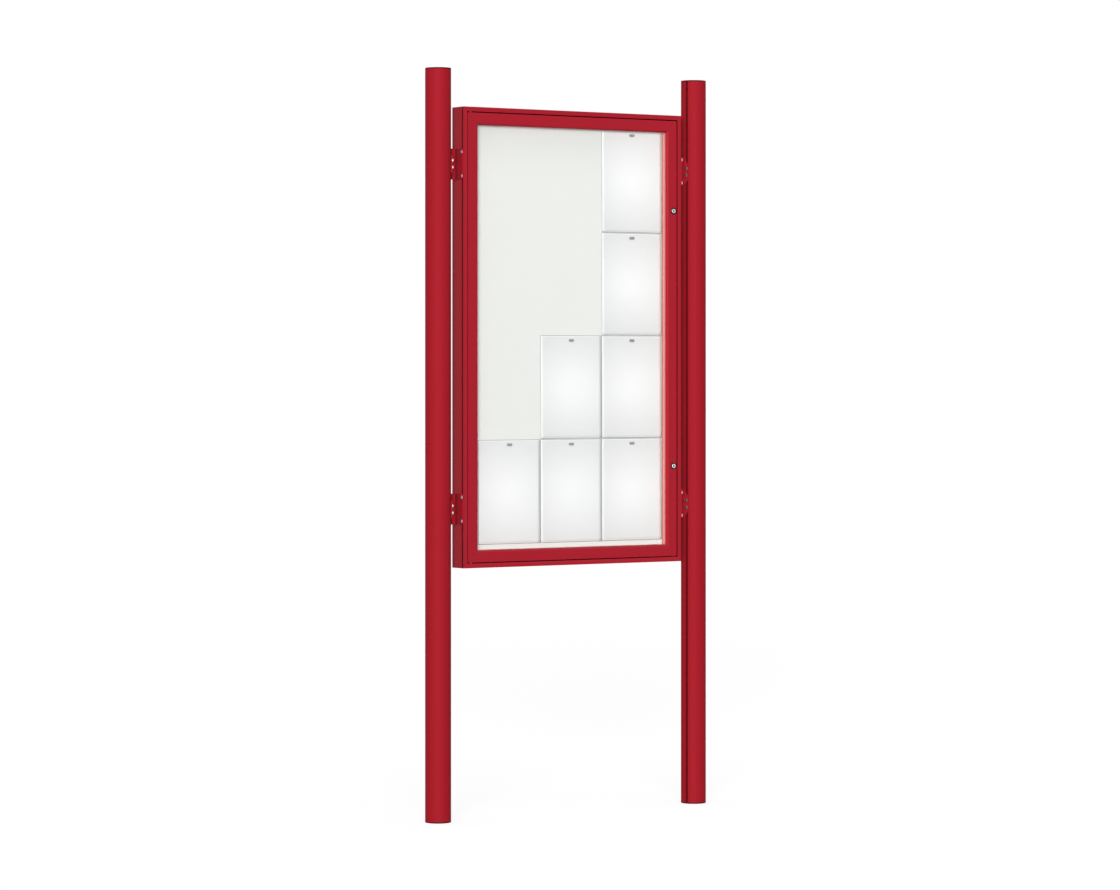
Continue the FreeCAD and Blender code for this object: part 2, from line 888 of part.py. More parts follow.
def make_lock(name, z):
    """Barrel fixed in the stile, with the plug, cam and cam screw that turn in it."""
    proud = cell("barrel_proud")
    recess = cell("plug_recess")
    barrel_back = cell("door_depth") + cell("ring_thickness") + cell("barrel_end")
    barrel_length = proud + barrel_back
    head = round_bar(f"{name}_barrel_head", cell("barrel_head_radius"), proud)
    tube = round_bar(f"{name}_barrel_tube", cell("barrel_radius"), barrel_length)
    bore_radius = cell("plug_radius") + cell("pin_play")
    bore = round_bar(f"{name}_barrel_bore", bore_radius, barrel_length)
    barrel = cut(f"{name}_lock_barrel", fuse(f"{name}_barrel_solid", head, tube), bore)
    place(keep(barrel, f"{name}_lock_barrel"), lock_x, front - proud, z)

    cam_front = barrel_back + cell("cam_gap")
    plug_length = proud + cam_front - recess
    screw_length = cell("cam_screw_length")
    plug_solid = round_bar(f"{name}_plug_solid", cell("plug_radius"), plug_length)
    width = cell("keyway_width")
    height = cell("keyway_height")
    keyway = box(
        f"{name}_keyway", -width / 2, 0, -height / 2, width, cell("keyway_depth"), height
    )
    thread = round_bar(
        f"{name}_plug_thread", cell("cam_screw_radius"), screw_length, plug_length - screw_length
    )
    plug = cut(f"{name}_lock_plug", cut(f"{name}_plug_slotted", plug_solid, keyway), thread)
    place(keep(plug, f"{name}_lock_plug"), lock_x, front - proud + recess, z)

    cam = keep(make_cam(f"{name}_lock_cam"), f"{name}_lock_cam")
    place(cam, lock_x, front + cam_front, z)

    reach = screw_length + cell("cam_thickness")
    screw_head = round_bar(
        f"{name}_cam_screw_head", cell("cam_screw_head_radius"), cell("cam_screw_head"), reach
    )
    shank = round_bar(f"{name}_cam_screw_shank", cell("cam_screw_radius"), reach)
    screw = fuse(f"{name}_cam_screw", screw_head, shank)
    place(keep(screw, f"{name}_cam_screw"), lock_x, front + cam_front - screw_length, z)


def make_locks():
    lock_heights = [middle_height + cell("lock_half_spacing") * sign for sign in (1, -1)]
    for name, z in zip(("upper", "lower"), lock_heights):
        make_lock(name, z)

    collar_length = cell("collar_proud")
    collar_disc = round_bar("collar_disc", cell("collar_radius"), collar_length)
    collar_hole = round_bar("collar_hole", cell("barrel_head_radius"), collar_length)
    collar = cut("lock_collar", collar_disc, collar_hole)
    group("lock_collars", collar, [at(lock_x, front - collar_length, z) for z in lock_heights])

    ring_thickness = cell("ring_thickness")
    ring_disc = round_bar("ring_disc", cell("ring_radius"), ring_thickness)
    ring_hole = round_bar("ring_hole", cell("barrel_radius"), ring_thickness)
    ring = cut("lock_retaining_ring", ring_disc, ring_hole)
    ring_front = front + cell("door_depth")
    group("lock_retaining_rings", ring, [at(lock_x, ring_front, z) for z in lock_heights])

    make_strikes(lock_heights)


def make_strikes(lock_heights):
    """Angle plates on the right-hand wall; each cam turns behind the short leg."""
    thickness = cell("strike_thickness")
    height = cell("strike_height")
    ring_back = cell("door_depth") + cell("ring_thickness")
    leg_front = ring_back - thickness - cell("strike_clearance")
    wall_face = half_width - cell("wall")
    reach = cell("rim") - cell("wall") - cell("strike_inset")
    base_depth = cell("strike_depth")
    base = box("strike_base", -thickness, 0, -height / 2, thickness, base_depth, height)
    leg = box("strike_leg", -reach, 0, -height / 2, reach, thickness, height)
    screw_y = base_depth - cell("strike_screw_from_back")
    screw_radius = cell("cam_screw_radius")
    screw_heights = [cell("strike_screw_spacing") / 2 * sign for sign in (-1, 1)]
    hole_radius = screw_radius + cell("close_play")
    hole_start = -thickness - CLEAR
    hole_length = thickness + CLEAR * 2
    solid = fuse("strike_solid", base, leg)
    for number, dz in enumerate(screw_heights):
        hole = cylinder(
            f"strike_hole_{number}", hole_radius, hole_length, hole_start, screw_y, dz, ALONG_X
        )
        solid = cut(f"strike_drilled_{number}", solid, hole)
    group("lock_strikes", solid, [at(wall_face, front + leg_front, z) for z in lock_heights])

    head_height = cell("strike_screw_head")
    head_radius = cell("cam_screw_head_radius")
    head = cylinder(
        "strike_screw_head", head_radius, head_height, x=-thickness - head_height, turn=ALONG_X
    )
    shank = cylinder("strike_screw_shank", screw_radius, thickness, x=-thickness, turn=ALONG_X)
    screw = fuse("strike_screw", head, shank)
    y = front + leg_front + screw_y
    places = [at(wall_face, y, z + dz) for z in lock_heights for dz in screw_heights]
    group("strike_screws", screw, places)


# Board and notices


def make_board():
    reach_x = view_half_width + cell("board_margin")
    reach_z = view_half_height + cell("board_margin")
    board_y = front + cell("board_front")
    plate = box(
        "magnet_board",
        -reach_x,
        board_y,
        middle_height - reach_z,
        reach_x * 2,
        cell("board_thickness"),
        reach_z * 2,
    )
    keep(plate, "magnet_board")

    channel_front = cell("board_front") + cell("board_thickness")
    depth = cell("cabinet_depth") - cell("wall") - cell("panel_thickness") - channel_front
    width = cell("channel_width")
    height = cell("channel_height")
    wall = cell("channel_wall")
    solid = box("channel_solid", -width / 2, 0, -height / 2, width, depth, height)
    # The hollow runs out of the channel's right-hand side, which leaves that side open.
    hollow = box(
        "channel_hollow", -width / 2 + wall, wall, -height / 2, width, depth - wall * 2, height
    )
    pattern = cut("board_channel", solid, hollow)
    spacing = cell("channel_spacing")
    places = [at(spacing * i, front + channel_front, middle_height) for i in (-1, 0, 1)]
    group("board_channels", pattern, places)


def notice_corner(column, row):
    x = cell("notice_width") * (column - 1.5) + cell("notice_shift")
    z = cell("notice_bottom") + cell("notice_height") * row
    return x, z


def make_notices():
    """Sheets edge to edge on the board, each under one magnet near its top edge."""
    thickness = cell("notice_thickness")
    board_y = front + cell("board_front")
    paper = box("notice", 0, -thickness, 0, cell("notice_width"), thickness, cell("notice_height"))
    corners = [notice_corner(column, row) for column, row in NOTICES]
    group("notice_sheets", paper, [at(x, board_y, z) for x, z in corners])

    radius = cell("magnet_height") / 2
    depth = cell("magnet_depth")
    half_span = cell("magnet_width") / 2 - radius
    bar = box("magnet_bar", -half_span, -depth, -radius, half_span * 2, depth, radius * 2)
    left_end = cylinder("magnet_left_end", radius, depth, x=-half_span, y=-depth, turn=ALONG_Y)
    right_end = cylinder("magnet_right_end", radius, depth, x=half_span, y=-depth, turn=ALONG_Y)
    magnet = fuse("sheet_magnet", bar, left_end, right_end)
    drop = cell("notice_height") - cell("magnet_below_edge")
    places = []
    for x, z in corners:
        places.append(at(x + cell("notice_width") / 2, board_y - thickness, z + drop))
    group("sheet_magnets", magnet, places)


# Brackets between the cabinet and the posts
# Drawn for the left side: X = 0 on the cabinet's side and towards the post along -X.


def post_flange_point(out, along):
    """Point near the post's slot: out from the post's surface, along towards the back."""
    angle = math.radians(cell("slot_angle").number)
    reach = cell("post_radius") + out
    gap = cell("post_half_spacing") - half_width
    x = reach * math.cos(angle) - gap + size_of(along) * math.sin(angle)
    y = cell("cabinet_depth") / 2 - reach * math.sin(angle) + size_of(along) * math.cos(angle)
    return x, y


def along_at_depth(out, depth):
    """How far along the post flange a given depth is reached."""
    angle = math.radians(cell("slot_angle").number)
    reach = cell("post_radius") + out
    return (depth - cell("cabinet_depth") / 2 + reach * math.sin(angle)) / math.cos(angle)


def make_bracket(label):
    thickness = cell("bracket_thickness")
    web = cell("bracket_web")
    height = cell("bracket_height")
    flange_end = -cell("bracket_post_flange")
    inner_bend = post_flange_point(thickness, along_at_depth(thickness, web))
    outer_bend = post_flange_point(0, along_at_depth(0, web + thickness))
    body = new_body(label)
    section = new_sketch(body, "XY_Plane", f"{label}_section")
    draw_outline(
        section,
        [
            (0, cell("bracket_front")),
            (-thickness, cell("bracket_front")),
            (-thickness, web),
            inner_bend,
            post_flange_point(thickness, flange_end),
            post_flange_point(0, flange_end),
            outer_bend,
            (0, web + thickness),
        ],
    )
    pad(body, section, height, both_ways=True)
    inside = cell("bend_radius")
    outside = inside + thickness
    fillet(body, upright_edges((-thickness, web), inner_bend), inside)
    fillet(body, upright_edges((0, web + thickness), outer_bend), outside)

    # Corners cut off beside the post, seen from the front.
    chamfer = cell("bracket_chamfer")
    tip = post_flange_point(0, flange_end)[0] - CLEAR
    corners = new_sketch(body, "XZ_Plane", f"{label}_corner_cuts")
    for sign in (-1, 1):
        high = (height / 2 + CLEAR) * sign
        low = (height / 2 - chamfer) * sign
        start = inner_bend[0] - inside
        shoulder = start - cell("bracket_chamfer_run")
        draw_outline(corners, [(tip, high), (start, high), (shoulder, low), (tip, low)])
    cut_through(body, corners)

    screws = new_sketch(body, "YZ_Plane", f"{label}_cabinet_holes")
    for sign in (-1, 1):
        z = cell("cabinet_screw_spacing") / 2 * sign
        draw_circle(screws, cell("side_slot_centre"), z, cell("screw_hole_radius"))
    holes = body.newObject("PartDesign::Pocket", f"{label}_cabinet_cut")
    holes.Profile = screws
    holes.Type = "Length"
    holes.Reversed = False
    bind(holes, "Length", thickness + CLEAR)

    def at_free_corner(edge):
        middle = edge.BoundBox.Center
        at_end = abs(abs(middle.z) - height.number / 2) < NEAR
        on_front = abs(middle.y - cell("bracket_front").number) < NEAR
        return at_end and on_front and edge.BoundBox.XLength > thickness.number / 2

    fillet(body, at_free_corner, cell("bracket_rounding"))
    return body


def upright_edges(*places):
    """Test that picks the vertical edges at the given places, seen from above."""
    spots = [(size_of(x).number, size_of(y).number) for x, y in places]

    def wanted(edge):
        centre = edge.BoundBox.Center
        upright = edge.BoundBox.ZLength > NEAR
        return upright and any(math.dist((centre.x, centre.y), spot) < NEAR for spot in spots)

    return wanted


def bracket_middle(up):
    """Height of a bracket's middle, up being 1 for the upper ones and -1 for the lower ones."""
    return middle_height + cell("bracket_lift") + cell("bracket_spacing") * up


def make_brackets():
    for level, up in (("upper", 1), ("lower", -1)):
        for side, sign in (("left", -1), ("right", 1)):
            label = f"{level}_{side}_bracket"
            blank = make_bracket(f"{label}_plate")
            drilled = drill_post_holes(label, blank)
            turn = Rotation() if sign < 0 else TURN_OVER
            place(keep(drilled, label), half_width * sign, front, bracket_middle(up), turn)


def slot_direction():
    """Rotation that turns Z to the way out of the left post's slot."""
    angle = cell("slot_angle").number
    return Rotation(Vector(0, 0, 1), -angle).multiply(ALONG_X)


def drill_post_holes(label, blank):
    x, y = post_flange_point(-CLEAR, 0)
    holes = []
    for number, sign in enumerate((-1, 1)):
        z = cell("post_screw_spacing") / 2 * sign
        radius = cell("screw_hole_radius")
        length = cell("bracket_thickness") + CLEAR * 2
        holes.append(cylinder(f"{label}_hole_{number}", radius, length, x, y, z, slot_direction()))
    return cut(label, blank, fuse(f"{label}_holes", *holes))


def low_head(name):
    """Low head on Z = 0: a straight side under a slightly domed top."""
    radius = cell("screw_head_radius")
    height = cell("screw_head")
    rise = height - cell("screw_head_side")
    squares = Size(radius.number**2 + rise.number**2, f"({radius.words}^2 + {rise.words}^2)")
    ball_radius = Size(squares.number / rise.number / 2, f"({squares.words} / {rise.words} / 2)")
    ball = doc.addObject("Part::Sphere", f"{name}_ball")
    bind(ball, "Radius", ball_radius)
    place(ball, 0, 0, height - ball_radius)
    head = doc.addObject("Part::Common", f"{name}_head")
    head.Base = cylinder(f"{name}_disc", radius, height)
    head.Tool = ball
    return head


def low_screw(name, shank_length):
    """Screw with a low head and a hexagon socket, standing on Z = 0, with its shank below."""
    head_height = cell("screw_head")
    head = low_head(name)
    shank = cylinder(f"{name}_shank", cell("screw_radius"), shank_length, z=-shank_length)
    socket = doc.addObject("Part::Prism", f"{name}_socket")
    socket.Polygon = 6
    bind(socket, "Circumradius", cell("socket_radius"))
    bind(socket, "Height", cell("socket_depth"))
    place(socket, 0, 0, head_height - cell("socket_depth"))
    return cut(f"{name}_screw", fuse(f"{name}_blank", head, shank), socket)


def slot_nut(name, breadth, height, length):
    """Sliding nut under Z = 0, its length along the slot, with a screw hole."""
    block = box(f"{name}_block", -length / 2, -breadth / 2, -height, length, breadth, height)
    hole = cylinder(f"{name}_hole", cell("screw_radius"), height, z=-height)
    return cut(f"{name}_nut", block, hole)


def make_fixings():
    """Screws and nuts of all four brackets, on the cabinet's side and on the post's side."""
    thickness = cell("bracket_thickness")
    nut_height = cell("nut_height")
    nut_play = cell("nut_play")
    cabinet_screw = low_screw("cabinet", thickness + cell("wall") + nut_height)
    post_screw = low_screw("post", thickness + cell("slot_lip") + nut_height)
    cabinet_nut = slot_nut(
        "cabinet", cell("chamber_depth") - nut_play, nut_height, cell("cabinet_nut_length")
    )
    post_nut = slot_nut("post", cell("slot_cavity") - nut_play, nut_height, cell("post_nut_length"))

    cabinet_half = cell("cabinet_screw_spacing") / 2
    post_half = cell("post_screw_spacing") / 2
    nut_y = cell("chamber_front") + cell("chamber_depth") / 2
    places = {"cabinet_screw": [], "cabinet_nut": [], "post_screw": [], "post_nut": []}
    for up, (sign, turn) in product((1, -1), ((-1, Rotation()), (1, TURN_OVER))):
        bracket = at(half_width * sign, front, bracket_middle(up), turn)
        for end in (-1, 1):
            z = cabinet_half * end
            screw = at(-thickness, cell("side_slot_centre"), z, ALONG_MINUS_X)
            nut = at(cell("wall"), nut_y, z, ALONG_MINUS_X)
            places["cabinet_screw"].append(bracket.multiply(screw))
            places["cabinet_nut"].append(bracket.multiply(nut))
            z = post_half * end
            screw = at(*post_flange_point(thickness, 0), z, slot_direction())
            nut = at(*post_flange_point(-cell("slot_lip"), 0), z, slot_direction())
            places["post_screw"].append(bracket.multiply(screw))
            places["post_nut"].append(bracket.multiply(nut))
    group("bracket_cabinet_screws", cabinet_screw, places["cabinet_screw"])
    group("cabinet_slot_nuts", cabinet_nut, places["cabinet_nut"])
    group("bracket_post_screws", post_screw, places["post_screw"])
    group("post_slot_nuts", post_nut, places["post_nut"])


def check_and_write():
    """Stop if anything failed, then write each piece to its own file."""
    doc.recompute()
    for thing in doc.Objects:
        if "Invalid" in thing.State or "Error" in thing.State:
            raise RuntimeError(f"{thing.Name} failed: {thing.State}")
    os.makedirs("parts", exist_ok=True)
    for piece in nodes:
        shape = piece.Shape
        if shape.isNull() or not shape.isValid():
            raise RuntimeError(f"{piece.Label} has no sound shape")
    for piece in nodes:
        piece.Shape.exportStep(os.path.join("parts", f"{piece.Label}.step"))
        print(f"{piece.Label}: {len(piece.Shape.Solids)} solid, {piece.Shape.Volume / 1000:.1f} cm3")
    print(f"{len(nodes)} pieces written")


make_posts()
make_housing()
make_corner_angles()
make_rear_panel()
make_door_frame()
make_door_cleats()
make_glazing()
make_hinges()
make_locks()
make_board()
make_notices()
make_brackets()
make_fixings()
check_and_write()
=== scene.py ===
"""Lockable notice board on two posts: the looks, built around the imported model."""

import json
import math

import bmesh
import bpy
from bpy.props import FloatProperty, FloatVectorProperty, IntProperty, PointerProperty
from bpy.types import NodeSocket, Operator, Panel, PropertyGroup
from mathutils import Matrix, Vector

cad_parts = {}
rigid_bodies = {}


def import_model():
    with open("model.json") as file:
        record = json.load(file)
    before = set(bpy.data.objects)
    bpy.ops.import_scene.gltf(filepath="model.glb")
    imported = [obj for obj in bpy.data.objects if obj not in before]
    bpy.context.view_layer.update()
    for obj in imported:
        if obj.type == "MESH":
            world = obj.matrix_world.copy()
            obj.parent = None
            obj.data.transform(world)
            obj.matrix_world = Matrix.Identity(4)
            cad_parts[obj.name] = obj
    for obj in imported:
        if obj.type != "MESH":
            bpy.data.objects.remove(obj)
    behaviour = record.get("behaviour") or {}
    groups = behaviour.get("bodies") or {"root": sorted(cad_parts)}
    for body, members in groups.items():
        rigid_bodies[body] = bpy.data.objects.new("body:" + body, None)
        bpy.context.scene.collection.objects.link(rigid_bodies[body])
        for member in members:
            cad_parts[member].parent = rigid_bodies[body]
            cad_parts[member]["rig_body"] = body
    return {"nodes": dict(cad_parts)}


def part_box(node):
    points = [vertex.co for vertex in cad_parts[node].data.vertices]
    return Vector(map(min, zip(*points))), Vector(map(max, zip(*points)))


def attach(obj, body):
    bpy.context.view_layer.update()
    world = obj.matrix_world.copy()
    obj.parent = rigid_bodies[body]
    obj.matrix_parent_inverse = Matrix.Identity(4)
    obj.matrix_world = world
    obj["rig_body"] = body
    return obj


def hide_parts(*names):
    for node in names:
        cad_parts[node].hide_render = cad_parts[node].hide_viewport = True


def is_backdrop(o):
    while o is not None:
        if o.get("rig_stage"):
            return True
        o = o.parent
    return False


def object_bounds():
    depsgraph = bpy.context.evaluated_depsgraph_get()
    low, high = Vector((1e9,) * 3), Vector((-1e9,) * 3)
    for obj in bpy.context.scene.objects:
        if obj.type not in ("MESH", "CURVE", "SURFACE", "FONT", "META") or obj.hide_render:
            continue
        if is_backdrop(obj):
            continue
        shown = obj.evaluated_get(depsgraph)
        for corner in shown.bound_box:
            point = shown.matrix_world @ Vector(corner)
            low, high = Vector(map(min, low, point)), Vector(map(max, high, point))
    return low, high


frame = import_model()
CAD_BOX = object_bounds()

bl_info = {
    "name": "Lockable notice board",
    "version": (1, 0, 0),
    "blender": (4, 5, 0),
    "location": "View3D > Sidebar > Notice board",
    "description": "Builds a glazed, lockable notice board between two posts",
    "category": "Add Mesh",
}

NODES = frame["nodes"]
PICTURE_WIDTH = 1120
PICTURE_HEIGHT = 890


# Sizes, colours and light that a user would change

def length(name, text, value):
    return FloatProperty(name=name, description=text, default=value, min=0.0, unit="LENGTH", precision=5)


def angle(name, text, degrees):
    return FloatProperty(name=name, description=text, default=math.radians(degrees), subtype="ANGLE")


def count(name, text, value):
    return IntProperty(name=name, description=text, default=value, min=6)


def strength(name, text, value):
    return FloatProperty(name=name, description=text, default=value, min=0.0)


def colour(name, text, red, green, blue):
    settings = {"name": name, "description": text, "size": 4, "min": 0.0, "max": 1.0, "subtype": "COLOR"}
    return FloatVectorProperty(default=(red, green, blue, 1.0), **settings)


class BoardSizes(PropertyGroup):
    bar_edge: length("Bar edge", "Rounding of the long edges of the extruded bars", 0.0004)
    plate_edge: length("Plate edge", "Rounding of the edges of the bent brackets", 0.0007)
    plate: length("Bracket plate", "Thickness of a bracket's plate", 0.003)
    bend_shade: length("Bend shade", "Width of the shade in a bracket's inner bend", 0.009)
    bend_tone: strength("Bend tone", "Strength of the shade in a bracket's inner bend", 1.35)
    small_edge: length("Small edge", "Rounding of the edges of small fittings", 0.0003)
    round_facets: count("Round facets", "Flats round a post, cap or lock", 128)
    post_wall: length("Post wall", "Thickness of a post's tube", 0.003)
    slot_angle: angle("Slot angle", "Angle of each slot to the line between the posts", 22.5)
    slot_mouth: length("Slot mouth", "Width of a post slot's opening", 0.008)
    slot_lip: length("Slot lip", "Thickness of the lips beside a slot's opening", 0.0035)
    cavity_width: length("Cavity width", "Width of a slot behind its lips", 0.015)
    cavity_depth: length("Cavity depth", "Depth of a slot behind its lips", 0.006)
    casing_wall: length("Casing wall", "Wall round a slot inside the post", 0.002)
    cap_rounding: length("Cap rounding", "Rounding of a cap's outer edge", 0.001)
    cap_crown: length("Cap crown", "Rise of a cap towards its middle", 0.0003)
    plug_play: length("Plug play", "Gap between a cap's skirt and the tube", 0.0001)
    plug_wall: length("Plug wall", "Thickness of a cap's skirt", 0.0025)
    screw_facets: count("Screw facets", "Flats round a screw's head", 32)
    bead_lip: length("Bead lip", "How far the upper and lower beads stand into the view", 0.0003)
    side_lip: length("Side lip", "How far the beads at the sides stand into the view", 0.0028)
    bead_reach: length("Bead reach", "How far the beads reach back over the seal", 0.0014)
    gap_tone: strength("Gap tone", "Strength of the shade in the gap round the door", 2.1)
    chamber_tone: strength("Chamber tone", "Strength of the shade in the slots of the housing", 1.7)
    board_tone: strength("Board tone", "Strength of the soft shade along the upper edge of the board", 0.34)
    lock_ring: length("Lock ring", "Outer radius of a lock's bright ring", 0.0063)
    # The dark middle round a lock's keyway is painted shade.
    keyhole: length("Keyhole", "Radius of the dark middle round a lock's keyway", 0.0031)
    lock_gap: length("Lock gap", "Gap between a lock's ring and its plug", 0.0001)
    collar_rise: length("Collar rise", "How far a lock's collar stands off the door", 0.0011)
    paper_lift: length("Paper lift", "How far the edges of a sheet stand off the board", 0.0016)
    paper_gap: length("Paper gap", "Half of the gap between two sheets", 0.0008)
    paper_thickness: length("Paper thickness", "Thickness of a sheet", 0.0002)


class BoardColours(PropertyGroup):
    powder: colour("Powder coat", "Red of the cabinet, door and brackets", 0.384, 0.0132, 0.0253)
    # The posts' red is painted shade: a darker copy of the powder coat's red.
    post_powder: colour("Post coat", "Red of the posts", 0.36, 0.0105, 0.0195)
    plug: colour("Post plugs", "Red of the moulded caps and feet", 0.12, 0.0035, 0.007)
    # The beads' light red is painted light: a lighter copy of the red for the brightly lit reveal.
    bead: colour("Glazing bead", "Light red of the strips that hold the glass", 0.93, 0.27, 0.23)
    enamel: colour("Board enamel", "White of the steel board", 0.845, 0.85, 0.825)
    # Round a sheet's edge its white is a painted highlight, and its thin grey line a painted shadow.
    paper: colour("Paper", "White in the middle and round the edge of a sheet", 0.98, 0.98, 0.98)
    paper_tint: colour("Paper tint", "Grey that a sheet fades to", 0.79, 0.79, 0.79)
    paper_line: colour("Paper line", "Grey of the thin line round a sheet", 0.28, 0.29, 0.30)
    magnet: colour("Magnet", "Grey of the magnets", 0.27, 0.26, 0.27)


class BoardLight(PropertyGroup):
    room: strength("Room light", "Light from all around", 0.335)
    lamp: strength("Lamp", "Strength of the soft main lamp", 3.72)
    lamp_side: angle("Lamp side", "Angle of the lamp to the left of the front", 35.5)
    lamp_height: angle("Lamp height", "Angle of the lamp above level", 5)
    lamp_spread: angle("Lamp spread", "How wide the lamp looks from the board", 28)
    floor_glow: strength("Floor glow", "Brightness that the floor shows on top of the light on it", 0.78)


# Node helpers

def feed(tree, socket, value):
    """Links an input to an output, or sets its value."""
    if isinstance(value, NodeSocket):
        tree.links.new(value, socket)
    else:
        socket.default_value = value


def feed_in_order(tree, node, values):
    for socket, value in zip(node.inputs, values):
        feed(tree, socket, value)


def feed_by_name(tree, node, **inputs):
    for name, value in inputs.items():
        feed(tree, node.inputs[name.replace("_", " ")], value)


def add_node(tree, kind, settings=None, **inputs):
    node = tree.nodes.new(kind)
    for name, value in (settings or {}).items():
        setattr(node, name, value)
    feed_by_name(tree, node, **inputs)
    return node


def math_node(tree, operation, *values):
    node = add_node(tree, "ShaderNodeMath", {"operation": operation})
    feed_in_order(tree, node, values)
    return node.outputs[0]


def plus(tree, first, second):
    return math_node(tree, "ADD", first, second)


def minus(tree, first, second):
    return math_node(tree, "SUBTRACT", first, second)


def times(tree, first, second):
    return math_node(tree, "MULTIPLY", first, second)


def vector_node(tree, operation, *values):
    node = add_node(tree, "ShaderNodeVectorMath", {"operation": operation})
    feed_in_order(tree, node, values)
    return node.outputs["Value" if operation == "LENGTH" else "Vector"]


def ramp_node(tree, value, start, end, low=0.0, high=1.0, kind="SMOOTHSTEP"):
    """A step from low to high while the value goes from start to end."""
    node = add_node(tree, "ShaderNodeMapRange", {"interpolation_type": kind})
    feed_in_order(tree, node, (value, start, end, low, high))
    return node.outputs["Result"]


def mix_colours(tree, factor, first, second, blend="MIX"):
    node = add_node(tree, "ShaderNodeMix", {"data_type": "RGBA", "blend_type": blend})
    for name, value in (("Factor_Float", factor), ("A_Color", first), ("B_Color", second)):
        feed(tree, next(s for s in node.inputs if s.identifier == name), value)
    return next(s for s in node.outputs if s.identifier == "Result_Color")


def scale_colour(tree, value, tone):
    """The colour with its brightness multiplied by tone."""
    grey = add_node(tree, "ShaderNodeCombineColor", Red=tone, Green=tone, Blue=tone)
    return mix_colours(tree, 1.0, value, grey.outputs[0], "MULTIPLY")


# Shader groups

def new_group(name, inputs, outputs):
    group = bpy.data.node_groups.new(name, "ShaderNodeTree")
    for label, value in inputs:
        kind = "NodeSocketVector" if isinstance(value, tuple) else "NodeSocketFloat"
        socket = group.interface.new_socket(label, in_out="INPUT", socket_type=kind)
        socket.default_value = value
    for label in outputs:
        group.interface.new_socket(label, in_out="OUTPUT", socket_type="NodeSocketFloat")
    given = group.nodes.new("NodeGroupInput").outputs
    result = group.nodes.new("NodeGroupOutput").inputs
    return group, given, result


def use_group(tree, group, place, **values):
    return add_node(tree, "ShaderNodeGroup", {"node_tree": group}, Place=place, **values).outputs


def noise(tree, place, scale, detail, roughness):
    node = add_node(tree, "ShaderNodeTexNoise", Vector=place, Scale=scale, Detail=detail, Roughness=roughness)
    return node.outputs["Fac"]


def swing_round_one(tree, value, amount):
    """A tone near 1 that swings with a noise between 0 and 1."""
    swing = times(tree, minus(tree, value, 0.5), amount)
    return plus(tree, swing, 1.0)


def grain_group():
    """Fine orange peel and slow drift of tone, as a sprayed or moulded skin has."""
    inputs = [("Place", (0.0, 0.0, 0.0)), ("Grain size", 900.0), ("Drift size", 3.0), ("Drift", 0.05)]
    group, given, result = new_group("Skin grain", inputs, ("Height", "Tone"))
    fine = noise(group, given["Place"], given["Grain size"], detail=3.0, roughness=0.6)
    slow = noise(group, given["Place"], given["Drift size"], detail=2.0, roughness=0.5)
    feed(group, result["Height"], fine)
    feed(group, result["Tone"], swing_round_one(group, slow, given["Drift"]))
    return group


def dust_group():
    """A mask of fine dust that settles on faces that look up."""
    group, given, result = new_group("Settled dust", [("Place", (0.0, 0.0, 0.0)), ("Amount", 0.2)], ("Mask",))
    facing = group.nodes.new("ShaderNodeNewGeometry")
    split = add_node(group, "ShaderNodeSeparateXYZ", Vector=facing.outputs["Normal"])
    upward = math_node(group, "MAXIMUM", split.outputs["Z"], 0.0)
    patches = noise(group, given["Place"], scale=60.0, detail=6.0, roughness=0.7)
    broken = times(group, upward, patches)
    feed(group, result["Mask"], times(group, broken, given["Amount"]))
    return group


def streak_group():
    """Streaks along one axis, as rolling, drawing or brushing leaves on metal."""
    inputs = [("Place", (0.0, 0.0, 0.0)), ("Stretch", (400.0, 400.0, 4.0)), ("Depth", 0.1)]
    group, given, result = new_group("Drawn streaks", inputs, ("Height", "Tone"))
    scaled = vector_node(group, "MULTIPLY", given["Place"], given["Stretch"])
    streak = noise(group, scaled, scale=1.0, detail=4.0, roughness=0.6)
    feed(group, result["Height"], streak)
    feed(group, result["Tone"], swing_round_one(group, streak, given["Depth"]))
    return group


# Materials

WHITE = (1.0, 1.0, 1.0, 1.0)
DUST_COLOUR = (0.62, 0.58, 0.54, 1.0)
# Share of its brightness that a finish loses where its mesh marks painted shade of 1
PAINTED_SHADE = "painted_shade"
PAINTED_SHADE_SKIN = 0.45
PAINTED_SHADE_METAL = 0.75
# How far the roughness swings over a finish, and how much dust or the waves of glass add to it
SKIN_SWING = 0.08
METAL_SWING = 0.1
DUST_DULLS = 0.5
GLASS_WAVES = 0.02
# A sheet's thin grey line at its edge is a painted shadow, and its white margin, which ends between the two
# distances given next, is a painted highlight.
# From its middle it fades to grey between the two distances of the fade, measured a little shorter across.
SHEET_MAP = "Sheet"
SHEET_SIZE = (0.210, 0.297, 0.0)
SHADOW_LINE_WIDTH = 0.0014
HIGHLIGHT_MARGIN = (0.003, 0.005)
FADE_SIZE = (0.178, 0.297, 0.0)
FADE_SPAN = (0.008, 0.150)


def new_material(name):
    material = bpy.data.materials.new(name)
    material.use_nodes = True
    tree = material.node_tree
    return material, tree, tree.nodes["Principled BSDF"]


def object_place(tree):
    return tree.nodes.new("ShaderNodeTexCoord").outputs["Object"]


def bump(tree, shader, height, share, distance):
    node = add_node(tree, "ShaderNodeBump", Strength=share, Distance=distance, Height=height)
    feed(tree, shader.inputs["Normal"], node.outputs["Normal"])


def painted_shade_amount(tree, amount):
    """How much darker a surface is painted where its mesh marks painted shade."""
    painted_shade = add_node(tree, "ShaderNodeAttribute", {"attribute_name": PAINTED_SHADE})
    return times(tree, painted_shade.outputs["Fac"], amount)


